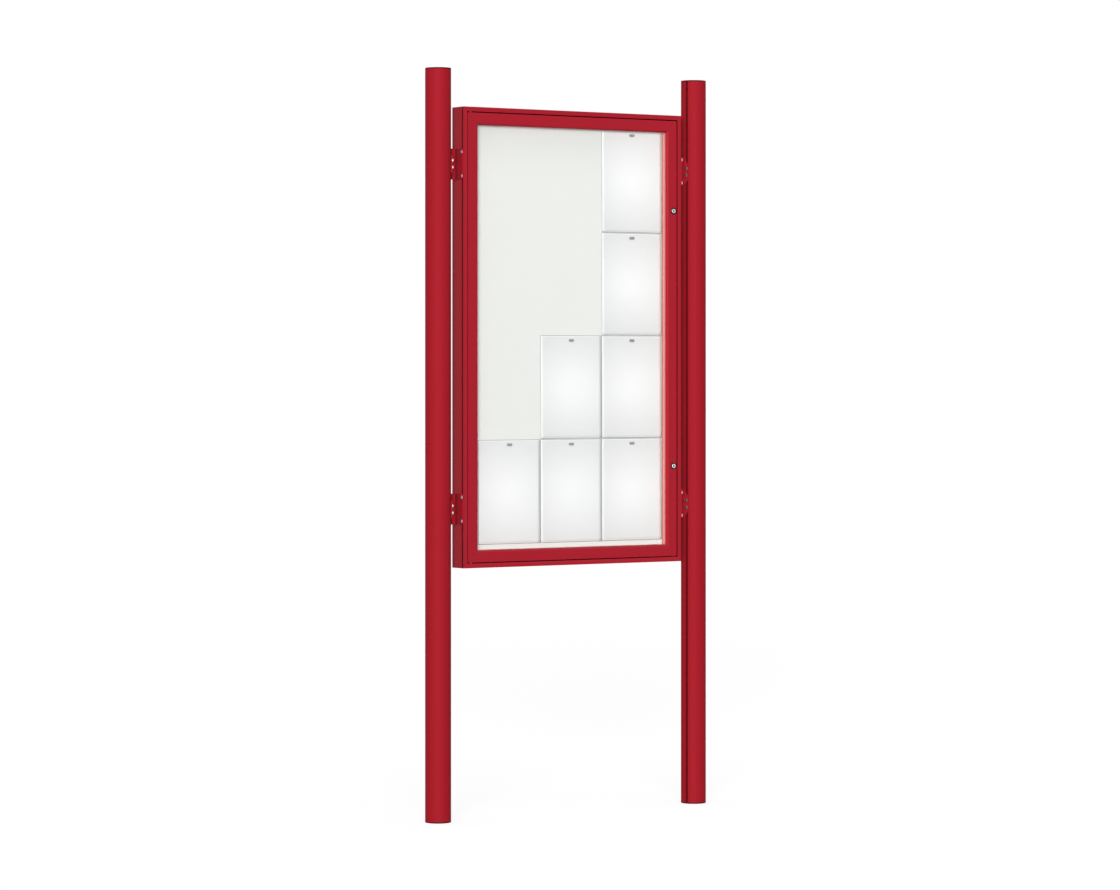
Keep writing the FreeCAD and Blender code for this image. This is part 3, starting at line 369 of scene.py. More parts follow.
def skin_material(name, value, groups, rough, shine, grain_size, grain_depth, drift, dust):
    """A sprayed, enamelled or moulded surface with a random drift of tone, and painted shade where its mesh
    marks it, as deep inside slots.
    """
    material, tree, shader = new_material(name)
    place = object_place(tree)
    grain = use_group(tree, groups["grain"], place, Grain_size=grain_size, Drift=drift)
    tone = minus(tree, grain["Tone"], painted_shade_amount(tree, PAINTED_SHADE_SKIN))
    dusty = use_group(tree, groups["dust"], place, Amount=dust)["Mask"]
    toned = scale_colour(tree, tuple(value), tone)
    coloured = mix_colours(tree, dusty, toned, DUST_COLOUR)
    uneven = math_node(tree, "MULTIPLY_ADD", grain["Height"], SKIN_SWING, rough - SKIN_SWING / 2)
    dull = math_node(tree, "MULTIPLY_ADD", dusty, DUST_DULLS, uneven)
    feed_by_name(tree, shader, Base_Color=coloured, Roughness=dull, Specular_IOR_Level=shine)
    bump(tree, shader, grain["Height"], share=0.35, distance=grain_depth)
    return material


def metal_material(name, value, groups, rough, stretch, depth, groove):
    """A bare or plated metal with fine streaks along one axis, and painted shade inside sockets and keyways.
    """
    material, tree, shader = new_material(name)
    streaks = use_group(tree, groups["streak"], object_place(tree), Stretch=stretch, Depth=depth)
    tone = minus(tree, streaks["Tone"], painted_shade_amount(tree, PAINTED_SHADE_METAL))
    coloured = scale_colour(tree, tuple(value), tone)
    uneven = math_node(tree, "MULTIPLY_ADD", streaks["Height"], METAL_SWING, rough - METAL_SWING / 2)
    feed_by_name(tree, shader, Base_Color=coloured, Roughness=uneven, Metallic=1.0)
    bump(tree, shader, streaks["Height"], share=0.3, distance=groove)
    return material


def paper_material(name, colours, groups):
    """Paper, white in the middle and greyer towards its edges, with a white margin as a painted highlight and
    a thin grey line at its edge as a painted shadow.
    """
    material, tree, shader = new_material(name)
    grain = use_group(tree, groups["grain"], object_place(tree), Grain_size=1600.0, Drift=0.015)
    sheet = add_node(tree, "ShaderNodeUVMap", {"uv_map": SHEET_MAP})
    centred = vector_node(tree, "SUBTRACT", sheet.outputs["UV"], (0.5, 0.5, 0.0))
    from_middle = vector_node(tree, "LENGTH", vector_node(tree, "MULTIPLY", centred, FADE_SIZE))
    fade = ramp_node(tree, from_middle, *FADE_SPAN, kind="LINEAR")
    inwards = vector_node(tree, "SUBTRACT", (0.5, 0.5, 1.0), vector_node(tree, "ABSOLUTE", centred))
    in_metres = vector_node(tree, "MULTIPLY", inwards, SHEET_SIZE)
    from_edges = add_node(tree, "ShaderNodeSeparateXYZ", Vector=in_metres)
    from_edge = math_node(tree, "MINIMUM", from_edges.outputs["X"], from_edges.outputs["Y"])
    tint_share = times(tree, fade, ramp_node(tree, from_edge, *HIGHLIGHT_MARGIN))
    white = mix_colours(tree, tint_share, tuple(colours.paper), tuple(colours.paper_tint))
    on_shadow_line = math_node(tree, "LESS_THAN", from_edge, SHADOW_LINE_WIDTH)
    shadow_lined = mix_colours(tree, on_shadow_line, white, tuple(colours.paper_line))
    coloured = scale_colour(tree, shadow_lined, grain["Tone"])
    feed_by_name(tree, shader, Base_Color=coloured, Roughness=0.85, Specular_IOR_Level=0.15)
    bump(tree, shader, grain["Height"], share=0.2, distance=0.00003)
    return material


def glass_material(name, groups):
    """Clear float glass that lets the light through to the board."""
    material, tree, shader = new_material(name)
    grain = use_group(tree, groups["grain"], object_place(tree), Grain_size=40.0, Drift=0.0)
    wavy = times(tree, grain["Height"], GLASS_WAVES)
    tint = (0.995, 1.0, 0.998, 1.0)
    feed_by_name(tree, shader, Base_Color=tint, Roughness=wavy, IOR=1.5, Transmission_Weight=1.0)
    clear = add_node(tree, "ShaderNodeBsdfTransparent", Color=(0.99, 0.995, 0.992, 1.0))
    path = tree.nodes.new("ShaderNodeLightPath").outputs
    mix = tree.nodes.new("ShaderNodeMixShader")
    passes = math_node(tree, "MAXIMUM", path["Is Shadow Ray"], path["Is Diffuse Ray"])
    feed_in_order(tree, mix, (passes, shader.outputs[0], clear.outputs[0]))
    feed(tree, tree.nodes["Material Output"].inputs["Surface"], mix.outputs[0])
    return material


def make_materials():
    """Every finish by its key."""
    colours = bpy.context.scene.board_colours
    groups = {"grain": grain_group(), "dust": dust_group(), "streak": streak_group()}
    upright = (700.0, 700.0, 6.0)
    across = (6.0, 700.0, 700.0)
    inward = (500.0, 30.0, 500.0)
    rubber, black = (0.03, 0.03, 0.032, 1.0), (0.007, 0.007, 0.008, 1.0)
    steel, zinc = (0.62, 0.615, 0.60, 1.0), (0.56, 0.57, 0.58, 1.0)
    aluminium, nickel = (0.74, 0.75, 0.76, 1.0), (0.78, 0.77, 0.74, 1.0)
    oiled, seal = (0.12, 0.11, 0.10, 1.0), (0.06, 0.06, 0.06, 1.0)
    # Name, colour, roughness, shine, size and depth of the grain, drift of tone, dust
    skins = {
        "powder": ("Red powder coat", colours.powder, 0.42, 0.08, 1400.0, 0.00004, 0.04, 0.10),
        # The post coat's darker red is painted shade.
        "post": ("Red post coat", colours.post_powder, 0.62, 0.06, 1400.0, 0.00004, 0.04, 0.10),
        "plug": ("Red moulded plug", colours.plug, 0.5, 0.08, 2600.0, 0.00002, 0.03, 0.12),
        # The bead's light red is painted light, a lit copy of the red.
        "bead": ("Light red bead", colours.bead, 0.35, 0.3, 1800.0, 0.00002, 0.03, 0.05),
        "enamel": ("White enamel", colours.enamel, 0.3, 0.3, 700.0, 0.00002, 0.015, 0.05),
        "magnet": ("Grey magnet", colours.magnet, 0.6, 0.3, 3000.0, 0.00003, 0.05, 0.10),
        "rubber": ("Black rubber", rubber, 0.75, 0.3, 3000.0, 0.00003, 0.1, 0.2),
        "seal": ("Grey rubber seal", seal, 0.7, 0.1, 3000.0, 0.00003, 0.1, 0.1),
        "black": ("Black moulding", black, 0.6, 0.06, 3000.0, 0.00002, 0.1, 0.1),
    }
    # Name, colour, roughness, stretch of the streaks, swing of their tone, depth of their grooves
    metals = {
        "steel": ("Bright steel", steel, 0.36, inward, 0.12, 0.00001),
        "zinc": ("Zinc plate", zinc, 0.42, across, 0.25, 0.00001),
        "aluminium": ("Mill aluminium", aluminium, 0.42, upright, 0.14, 0.00002),
        "nickel": ("Satin nickel", nickel, 0.25, inward, 0.10, 0.00001),
        "oiled": ("Oiled steel", oiled, 0.45, upright, 0.15, 0.00001),
    }
    made = {"glass": glass_material("Clear glass", groups)}
    made["paper"] = paper_material("Paper with painted highlight and shadow", colours, groups)
    for make, table in ((skin_material, skins), (metal_material, metals)):
        for key, (name, value, *rest) in table.items():
            made[key] = make(name, value, groups, *rest)
    return made


FINISH = {}


def finish(name):
    if not FINISH:
        FINISH.update(make_materials())
    return FINISH[name]


# Geometry trees

# How far a cutter reaches past the ends and sides of what it cuts, and a slot's mouth into its cavity,
# and how far behind the mouth's edge its painted shade starts
PAST = 0.01
OVERLAP = 0.001
MOUTH_EDGE = 0.0005
HEX_SIDES = 6
PULL = "out"


def size_tree(name, sizes):
    """A geometry tree with a named input for each size, its inputs and its result."""
    tree = bpy.data.node_groups.new(name, "GeometryNodeTree")
    tree.is_modifier = True
    tree.interface.new_socket("Geometry", in_out="INPUT", socket_type="NodeSocketGeometry")
    for label in sizes:
        tree.interface.new_socket(label, in_out="INPUT", socket_type="NodeSocketFloat")
    tree.interface.new_socket("Facets", in_out="INPUT", socket_type="NodeSocketInt")
    tree.interface.new_socket("Material", in_out="INPUT", socket_type="NodeSocketMaterial")
    tree.interface.new_socket("Geometry", in_out="OUTPUT", socket_type="NodeSocketGeometry")
    return tree, tree.nodes.new("NodeGroupInput").outputs, tree.nodes.new("NodeGroupOutput").inputs


def end_tree(tree, given, result, geometry):
    """Real faces in the given material, as the tree's result."""
    real = add_node(tree, "GeometryNodeRealizeInstances", Geometry=geometry)
    coated = add_node(tree, "GeometryNodeSetMaterial", Geometry=real.outputs[0], Material=given["Material"])
    feed(tree, result["Geometry"], coated.outputs[0])
    return tree


def moved(tree, geometry, x=0.0, z=0.0, turn=0.0):
    """The geometry turned about Z and then moved."""
    place = add_node(tree, "ShaderNodeCombineXYZ", X=x, Z=z).outputs[0]
    turned_by = add_node(tree, "ShaderNodeCombineXYZ", Z=turn).outputs[0]
    node = add_node(tree, "GeometryNodeTransform", Geometry=geometry, Translation=place, Rotation=turned_by)
    return node.outputs["Geometry"]


def combine(tree, operation, first, *others):
    """Adds solids together, keeps what they share, or cuts the others from the first."""
    node = add_node(tree, "GeometryNodeMeshBoolean", {"operation": operation, "solver": "EXACT"})
    tree.links.new(first, node.inputs["Mesh 1" if operation == "DIFFERENCE" else "Mesh 2"])
    for other in others:
        tree.links.new(other, node.inputs["Mesh 2"])
    return node.outputs["Mesh"]


def round_bar(tree, facets, radius, depth):
    node = add_node(tree, "GeometryNodeMeshCylinder", Vertices=facets, Radius=radius, Depth=depth)
    return node.outputs["Mesh"]


def from_axis(tree):
    """Each point's distance from the Z axis, and its height."""
    place = tree.nodes.new("GeometryNodeInputPosition").outputs[0]
    spot = add_node(tree, "ShaderNodeSeparateXYZ", Vector=place).outputs
    flat = add_node(tree, "ShaderNodeCombineXYZ", X=spot["X"], Y=spot["Y"]).outputs[0]
    return vector_node(tree, "LENGTH", flat), spot["Z"]


def mark_painted_shade(tree, geometry, depth):
    """Stores at each point how much painted shade it gets, by how deep it lies in a slot."""
    settings = {"data_type": "FLOAT", "domain": "POINT"}
    node = add_node(
        tree, "GeometryNodeStoreNamedAttribute", settings, Geometry=geometry, Name=PAINTED_SHADE, Value=depth
    )
    return node.outputs[0]


def post_tree():
    """Round tube with two undercut slots that face the cabinet, its bore cut round their casings, and painted
    shade inside the slots.
    """
    sizes = (
        "Radius", "Post wall", "Height", "Slot angle", "Slot mouth", "Slot lip",
        "Cavity width", "Cavity depth", "Casing wall", "Centre x", "Centre z", "Facing",
    )
    tree, given, result = size_tree("Slotted post", sizes)
    past_ends = plus(tree, given["Height"], PAST)
    cavity_top = minus(tree, given["Radius"], given["Slot lip"])
    cavity_floor = minus(tree, cavity_top, given["Cavity depth"])
    casing_floor = minus(tree, cavity_floor, given["Casing wall"])
    casing_width = math_node(tree, "MULTIPLY_ADD", given["Casing wall"], 2.0, given["Cavity width"])
    outside = plus(tree, given["Radius"], PAST)
    mouth_floor = minus(tree, cavity_top, OVERLAP)
    bore_radius = minus(tree, given["Radius"], given["Post wall"])

    def along_both_slots(low, high, breadth):
        """Upright block between two distances from the axis, at each of the two slots."""
        deep = minus(tree, high, low)
        size = add_node(tree, "ShaderNodeCombineXYZ", X=deep, Y=breadth, Z=past_ends)
        block = add_node(tree, "GeometryNodeMeshCube", Size=size.outputs[0]).outputs["Mesh"]
        middle = times(tree, plus(tree, high, low), 0.5)
        out = moved(tree, block, x=middle)
        back = times(tree, given["Slot angle"], -1.0)
        return moved(tree, out, turn=given["Slot angle"]), moved(tree, out, turn=back)

    tube = round_bar(tree, given["Facets"], given["Radius"], given["Height"])
    bore = round_bar(tree, given["Facets"], bore_radius, past_ends)
    casings = along_both_slots(casing_floor, outside, casing_width)
    shaped_bore = combine(tree, "DIFFERENCE", bore, *casings)
    cavities = along_both_slots(cavity_floor, cavity_top, given["Cavity width"])
    mouths = along_both_slots(mouth_floor, outside, given["Slot mouth"])
    slotted = combine(tree, "DIFFERENCE", tube, *cavities, *mouths, shaped_bore)

    # Painted shade: points inside a slot are marked darker, fading out towards the mouth's edge.
    mouth_edge = minus(tree, given["Radius"], MOUTH_EDGE)
    depth = ramp_node(tree, from_axis(tree)[0], cavity_top, mouth_edge, 1.0, 0.0)
    marked = mark_painted_shade(tree, slotted, depth)
    placed = moved(tree, marked, x=given["Centre x"], z=given["Centre z"], turn=given["Facing"])
    return end_tree(tree, given, result, placed)


def screw_tree():
    """Screws with a low head and a hexagon socket, one at each point, its head along the point's pull, with
    painted shade deep in each socket.
    """
    sizes = (
        "Head radius", "Head height", "Head side", "Socket radius", "Socket depth",
        "Shank radius", "Shank length",
    )
    tree, given, result = size_tree("Domed screws", sizes)
    rise = minus(tree, given["Head height"], given["Head side"])
    squares = math_node(tree, "MULTIPLY_ADD", rise, rise, math_node(tree, "POWER", given["Head radius"], 2.0))
    ball_radius = math_node(tree, "DIVIDE", squares, times(tree, rise, 2.0))
    facets = given["Facets"]
    ball = add_node(tree, "GeometryNodeMeshUVSphere", Segments=facets, Rings=facets, Radius=ball_radius)
    ball_middle = minus(tree, given["Head height"], ball_radius)
    dome = moved(tree, ball.outputs["Mesh"], z=ball_middle)
    disc = round_bar(tree, facets, given["Head radius"], given["Head height"])
    half_head = times(tree, given["Head height"], 0.5)
    head = combine(tree, "INTERSECT", dome, moved(tree, disc, z=half_head))
    sunk = plus(tree, given["Shank length"], given["Head side"])
    shank = round_bar(tree, facets, given["Shank radius"], sunk)
    shank_ends = minus(tree, given["Head side"], given["Shank length"])
    shank_middle = times(tree, shank_ends, 0.5)
    blank = combine(tree, "UNION", head, moved(tree, shank, z=shank_middle))
    cutter_length = times(tree, given["Socket depth"], 2.0)
    hexagon = round_bar(tree, HEX_SIDES, given["Socket radius"], cutter_length)
    screw = combine(tree, "DIFFERENCE", blank, moved(tree, hexagon, z=given["Head height"]))

    # Painted shade: the floor of each socket is marked darker.
    away, height = from_axis(tree)
    near_axis = math_node(tree, "LESS_THAN", away, given["Shank radius"])
    half_socket = times(tree, given["Socket depth"], 0.5)
    socket_middle = minus(tree, given["Head height"], half_socket)
    above_seat = math_node(tree, "GREATER_THAN", height, 0.0)
    low_in_head = math_node(tree, "LESS_THAN", height, socket_middle)
    deep = times(tree, above_seat, low_in_head)
    marked = mark_painted_shade(tree, screw, times(tree, near_axis, deep))
    pull = add_node(tree, "GeometryNodeInputNamedAttribute", {"data_type": "FLOAT_VECTOR"}, Name=PULL)
    turn = add_node(
        tree, "FunctionNodeAlignRotationToVector", {"axis": "Z"}, Vector=pull.outputs["Attribute"]
    )
    set_in = add_node(
        tree, "GeometryNodeInstanceOnPoints",
        Points=given["Geometry"], Instance=marked, Rotation=turn.outputs[0],
    )
    return end_tree(tree, given, result, set_in.outputs[0])


TREES = {}


def add_object(name, data):
    piece = bpy.data.objects.new(name, data)
    bpy.context.scene.collection.objects.link(piece)
    return piece


def grow(make_tree, seed, name, material, **values):
    """A piece with the plain mesh that a geometry tree grows on a seed mesh.
    A size that isn't given comes from the board's own of the same name."""
    if make_tree not in TREES:
        TREES[make_tree] = make_tree()
    tree = TREES[make_tree]
    piece = add_object(name, seed)
    modifier = piece.modifiers.new("Shape", "NODES")
    modifier.node_group = tree
    values["material"] = finish(material)
    for item in tree.interface.items_tree:
        if item.in_out == "INPUT" and item.name != "Geometry":
            key = item.name.replace(" ", "_").lower()
            value = values[key] if key in values else getattr(bpy.context.scene.board_sizes, key)
            modifier[item.identifier] = value
    graph = bpy.context.evaluated_depsgraph_get()
    grown = bpy.data.meshes.new_from_object(
        piece.evaluated_get(graph), preserve_all_data_layers=True, depsgraph=graph
    )
    piece.modifiers.remove(modifier)
    piece.data = smooth(grown)
    return piece


# Mesh helpers

# Angles from which an edge shades sharp or is rounded, and below which faces count as one flat face,
# then distances within which points are the same or lie on a cut
SHARP = math.radians(32)
BEVEL_FROM = math.radians(35)
FLAT = math.radians(0.3)
MERGE = 0.000001
NEAR = 0.00005
ARC_STEPS = 5


def smooth(data):
    data.shade_smooth()
    data.set_sharp_from_angle(angle=SHARP)
    return data


def new_object(mesh, name, material):
    """An object with a finished mesh in a material."""
    data = bpy.data.meshes.new(name)
    mesh.to_mesh(data)
    mesh.free()
    data.materials.append(material)
    return add_object(name, data)


def new_piece(mesh, name, material):
    """A smooth piece with a finished mesh, in the named finish."""
    piece = new_object(mesh, name, finish(material))
    smooth(piece.data)
    return piece


def clean_copy(node):
    """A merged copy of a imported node's mesh, with its flat faces whole again."""
    mesh = bmesh.new()
    mesh.from_mesh(NODES[node].data)
    bmesh.ops.remove_doubles(mesh, verts=mesh.verts, dist=MERGE)
    bmesh.ops.dissolve_limit(mesh, angle_limit=FLAT, verts=mesh.verts, edges=mesh.edges)
    bmesh.ops.recalc_face_normals(mesh, faces=mesh.faces)
    return mesh


def round_edges(piece, width):
    bevel = piece.modifiers.new("Edges", "BEVEL")
    bevel.width = width
    bevel.segments = 2
    bevel.limit_method = "ANGLE"
    bevel.angle_limit = BEVEL_FROM
    bevel.harden_normals = True
    bevel.miter_outer = "MITER_ARC"


def stand_for(piece, slot, *nodes):
    """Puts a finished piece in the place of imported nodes, on their body."""
    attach(piece, NODES[nodes[0]]["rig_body"])
    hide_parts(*nodes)


def paint_shade(mesh, planes, tone_at):
    """Cuts the faces along planes, then stores at each point how much painted shade it gets."""
    for place, normal in planes:
        whole = mesh.verts[:] + mesh.edges[:] + mesh.faces[:]
        bmesh.ops.bisect_plane(mesh, geom=whole, plane_co=place, plane_no=normal)
    painted_shade = mesh.verts.layers.float.new(PAINTED_SHADE)
    for vert in mesh.verts:
        vert[painted_shade] = tone_at(vert.co)
    return mesh


def rounded_piece(mesh, name, material, slot, edge, node):
    """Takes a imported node's place with a mesh made from it and small rounded edges."""
    piece = new_piece(mesh, name, material)
    round_edges(piece, edge)
    stand_for(piece, slot, node)


def rounded_node(node, name, material, slot, edge):
    """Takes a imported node's place with the same shape and small rounded edges."""
    rounded_piece(clean_copy(node), name, material, slot, edge, node)


def dress(material, *nodes):
    """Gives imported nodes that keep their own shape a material."""
    for node in nodes:
        data = NODES[node].data
        data.materials.clear()
        data.materials.append(finish(material))


def loose_parts(node):
    """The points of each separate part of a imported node."""
    return linked_points(clean_copy(node))


def front_faces(node):
    """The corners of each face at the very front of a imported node, with parts that touch kept apart."""
    mesh = bmesh.new()
    mesh.from_mesh(NODES[node].data)
    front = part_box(node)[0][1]
    return [points for points in linked_points(mesh) if extent(points, BACK)[1] < front + MERGE]


def linked_points(mesh):
    """The points of each linked part of a mesh, in order from the left."""
    left = set(mesh.verts)
    parts = []
    while left:
        stack = [left.pop()]
        found = []
        while stack:
            vert = stack.pop()
            found.append(vert.co.copy())
            others = {edge.other_vert(vert) for edge in vert.link_edges} & left
            left -= others
            stack.extend(others)
        parts.append(found)
    mesh.free()

    def lowest_corner(points):
        return [round(min(point[axis] for point in points), 5) for axis in range(3)]

    return sorted(parts, key=lowest_corner)


def extent(points, direction):
    reaches = [point.dot(direction) for point in points]
    return min(reaches), max(reaches)


def middle_of(points, direction):
    return sum(extent(points, direction)) / 2


def quarter(across, up, radius):
    """Points of a quarter circle about (across, up), from its top outwards and down."""
    turns = [math.radians(90 - 90 * i / ARC_STEPS) for i in range(ARC_STEPS + 1)]
    return [(across + radius * math.cos(turn), up + radius * math.sin(turn)) for turn in turns]


def add_turned(mesh, outline, centre, along, facets, ring=False):
    """Turns an outline of (radius, distance) points about the line through centre."""
    along = Vector(along)
    side = along.orthogonal().normalized()
    other = along.cross(side)
    rows = []
    for radius, distance in outline:
        middle = Vector(centre) + along * distance
        if radius < MERGE:
            rows.append([mesh.verts.new(middle)] * facets)
            continue
        turns = [2 * math.pi * i / facets for i in range(facets)]
        spokes = [side * math.cos(turn) + other * math.sin(turn) for turn in turns]
        rows.append([mesh.verts.new(middle + spoke * radius) for spoke in spokes])
    pairs = list(zip(rows, rows[1:]))
    if ring:
        pairs.append((rows[-1], rows[0]))
    for low, high in pairs:
        for i in range(facets):
            corners = (low[i], low[i - 1], high[i - 1], high[i])
            mesh.faces.new(list(dict.fromkeys(corners)))
    bmesh.ops.recalc_face_normals(mesh, faces=mesh.faces)


# Pieces

RED = "red_powder_coat"
RIGHT = Vector((1, 0, 0))
BACK = Vector((0, 1, 0))
UP = Vector((0, 0, 1))
CROWN_STEPS = 6


class BuildPosts(Operator):
    """Builds the two round slotted posts with their caps and feet"""
    bl_idname = "notice_board.posts"
    bl_label = "Posts"

    def execute(self, context):
        sizes = context.scene.board_sizes
        for side, facing in (("left", 0.0), ("right", math.pi)):
            low, high = map(Vector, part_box(f"{side}_post"))
            centre = (low + high) / 2
            radius = (high.y - low.y) / 2
            seed = bpy.data.meshes.new(f"{side}_post_seed")
            tube = grow(
                post_tree, seed, f"{side}_post_tube", "post", facets=sizes.round_facets, radius=radius,
                height=high.z - low.z, centre_x=centre.x, centre_z=centre.z, facing=facing,
            )
            round_edges(tube, sizes.bar_edge)
            stand_for(tube, RED, f"{side}_post")
            self.add_plug(sizes, f"{side}_post_cap", radius, centre.x, high.z, 1, sizes.cap_crown)
            self.add_plug(sizes, f"{side}_post_foot", radius, centre.x, low.z, -1, 0.0)
        return {"FINISHED"}

    def add_plug(self, sizes, node, radius, x, seat, sign, crown):
        """A disc on the tube's end with a skirt that plugs into the tube."""
        low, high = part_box(node)
        skirt, thickness = sorted(sign * (z - seat) for z in (low[2], high[2]))
        rounding = sizes.cap_rounding
        flat = radius - rounding
        rim = thickness - crown
        steps = [i / CROWN_STEPS for i in range(CROWN_STEPS)]
        top = [(flat * step, thickness - crown * step ** 2) for step in steps]
        bore = radius - sizes.post_wall - sizes.plug_play
        inside = bore - sizes.plug_wall
        seam = sizes.small_edge
        seat_edge = [(radius, seam), (radius - seam, 0.0), (bore, 0.0)]
        below = [(bore, skirt), (inside, skirt), (inside, 0.0), (0.0, 0.0)]
        mesh = bmesh.new()
        outline = top + quarter(flat, rim - rounding, rounding) + seat_edge + below
        add_turned(mesh, outline, (x, 0.0, seat), UP * sign, sizes.round_facets)
        stand_for(new_piece(mesh, f"{node}_plug", "plug"), "red_plastic", node)


# How wide the gap round the door is and how far behind the front its painted shade starts,
# then how far from the housing's outer side and from its front its slotted chambers lie, which get painted
# shade too
GAP = 0.0032
GAP_MOUTH = 0.0005
CHAMBER_IN = (0.0015, 0.0115)
CHAMBER_BACK = (0.0014, 0.0106)


class BuildHousing(Operator):
    """Builds the fixed housing, its rear panel and what holds its corners"""
    bl_idname = "notice_board.housing"
    bl_label = "Housing"

    def execute(self, context):
        sizes = context.scene.board_sizes
        door_low, door_high = map(Vector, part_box("door_top_rail"))
        lower_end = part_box("door_bottom_rail")[0][2]
        middle = (door_high.z + lower_end) / 2
        door_size = (door_high.x, door_high.z - middle)
        housing_size = (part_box("housing_right")[1][0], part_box("housing_top")[1][2] - middle)
        front = door_low.y
        planes = [(BACK * (front + GAP_MOUTH), BACK)]

        def beyond(point, size):
            return max(abs(point.x) - size[0], abs(point.z - middle) - size[1])

        def tone_at(point):
            """Painted shade in the gap round the door, behind its mouth, and in the slots of the outer sides.
            """
            depth = point.y - front
            inwards = -beyond(point, housing_size)
            in_gap = -NEAR < beyond(point, door_size) < GAP and depth > GAP_MOUTH - NEAR
            beside_chamber = CHAMBER_IN[0] < inwards < CHAMBER_IN[1]
            in_slot = beside_chamber and CHAMBER_BACK[0] < depth < CHAMBER_BACK[1]
            return sizes.gap_tone * in_gap + sizes.chamber_tone * in_slot

        for side in ("top", "bottom", "left", "right"):
            node = f"housing_{side}"
            mesh = paint_shade(clean_copy(node), planes, tone_at)
            rounded_piece(mesh, f"{node}_bar", "powder", RED, sizes.bar_edge, node)
        dress("aluminium", "housing_corner_angles")
        dress("powder", "rear_panel")
        return {"FINISHED"}


class BuildDoor(Operator):
    """Builds the door frame with its glass, gasket, beads and seal"""
    bl_idname = "notice_board.door"
    bl_label = "Door"

    def execute(self, context):
        sizes = context.scene.board_sizes
        for bar in ("door_top_rail", "door_bottom_rail", "door_hinge_stile", "door_lock_stile"):
            rounded_node(bar, f"{bar}_bar", "powder", RED, sizes.bar_edge)
        self.add_beads(sizes)
        dress("aluminium", "door_corner_cleats")
        dress("glass", "glass_pane")
        dress("rubber", "glazing_gasket")
        return {"FINISHED"}

    def add_beads(self, sizes):
        """Mitred strips that hold the glass, and the seal strips behind them."""
        left = Vector(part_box("glazing_bead_left")[1])
        low, high = map(Vector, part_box("glazing_bead_bottom"))
        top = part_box("glazing_bead_top")[0][2]
        seal_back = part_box("door_seal")[1][1]
        self.middle = UP * ((top + high.z) / 2)
        self.half_x, self.half_z = -left.x, (top - high.z) / 2
        front, back, outer = low.y, high.y, high.z - low.z
        reach = back + sizes.bead_reach
        seals = bmesh.new()
        for side in ("top", "bottom", "left", "right"):
            lip = sizes.side_lip if side in ("left", "right") else sizes.bead_lip
            bead = [(-lip, front), (-lip, reach), (0.0, reach), (0.0, back), (outer, back), (outer, front)]
            mesh = bmesh.new()
            self.add_bar(mesh, side, bead)
            node = f"glazing_bead_{side}"
            # The beads get the light red, painted light for the brightly lit reveal.
            rounded_piece(mesh, f"{node}_strip", "bead", RED, sizes.small_edge, node)
            seal = [(-lip, reach + MERGE), (-lip, seal_back), (outer, seal_back), (outer, back + MERGE)]
            self.add_bar(seals, side, seal + [(MERGE, back + MERGE), (MERGE, reach + MERGE)])
        stand_for(new_piece(seals, "door_seal_strips", "seal"), "black_rubber", "door_seal")

    def add_bar(self, mesh, side, section):
        """A mitred side of the frame round the clear view: section holds (outwards, depth) points."""
        along_x = side in ("top", "bottom")
        sign = 1 if side in ("top", "right") else -1
        half_run, half_cross = (self.half_x, self.half_z) if along_x else (self.half_z, self.half_x)
        ends = []
        for end in (-1, 1):
            row = []
            for out, depth in section:
                run = end * (half_run + out)
                cross = sign * (half_cross + out)
                x, z = (run, cross) if along_x else (cross, run)
                row.append(mesh.verts.new((x, depth, self.middle.z + z)))
            ends.append(row)
        for i in range(len(section)):
            j = (i + 1) % len(section)
            mesh.faces.new((ends[0][i], ends[0][j], ends[1][j], ends[1][i]))
        mesh.faces.new(ends[0])
        mesh.faces.new(ends[1][::-1])
        bmesh.ops.recalc_face_normals(mesh, faces=mesh.faces)


class BuildHinges(Operator):
    """Finishes the hidden hinge pins, their blocks and bushes"""
    bl_idname = "notice_board.hinges"
    bl_label = "Hinges"

    def execute(self, context):
        dress("aluminium", "hinge_pin_blocks")
        dress("oiled", "hinge_pin_upper", "hinge_pin_lower")
        dress("black", "hinge_bush_upper", "hinge_bush_lower")
        return {"FINISHED"}


# The painted shade in the middle of a lock's face has straight sides, with corners just past its radius.
# Behind the face, the keyway gets painted shade within a share of the plug's radius.
KEYHOLE_SIDES = 12
KEYHOLE_CORNER = 1.04
KEYWAY_REACH = 0.8


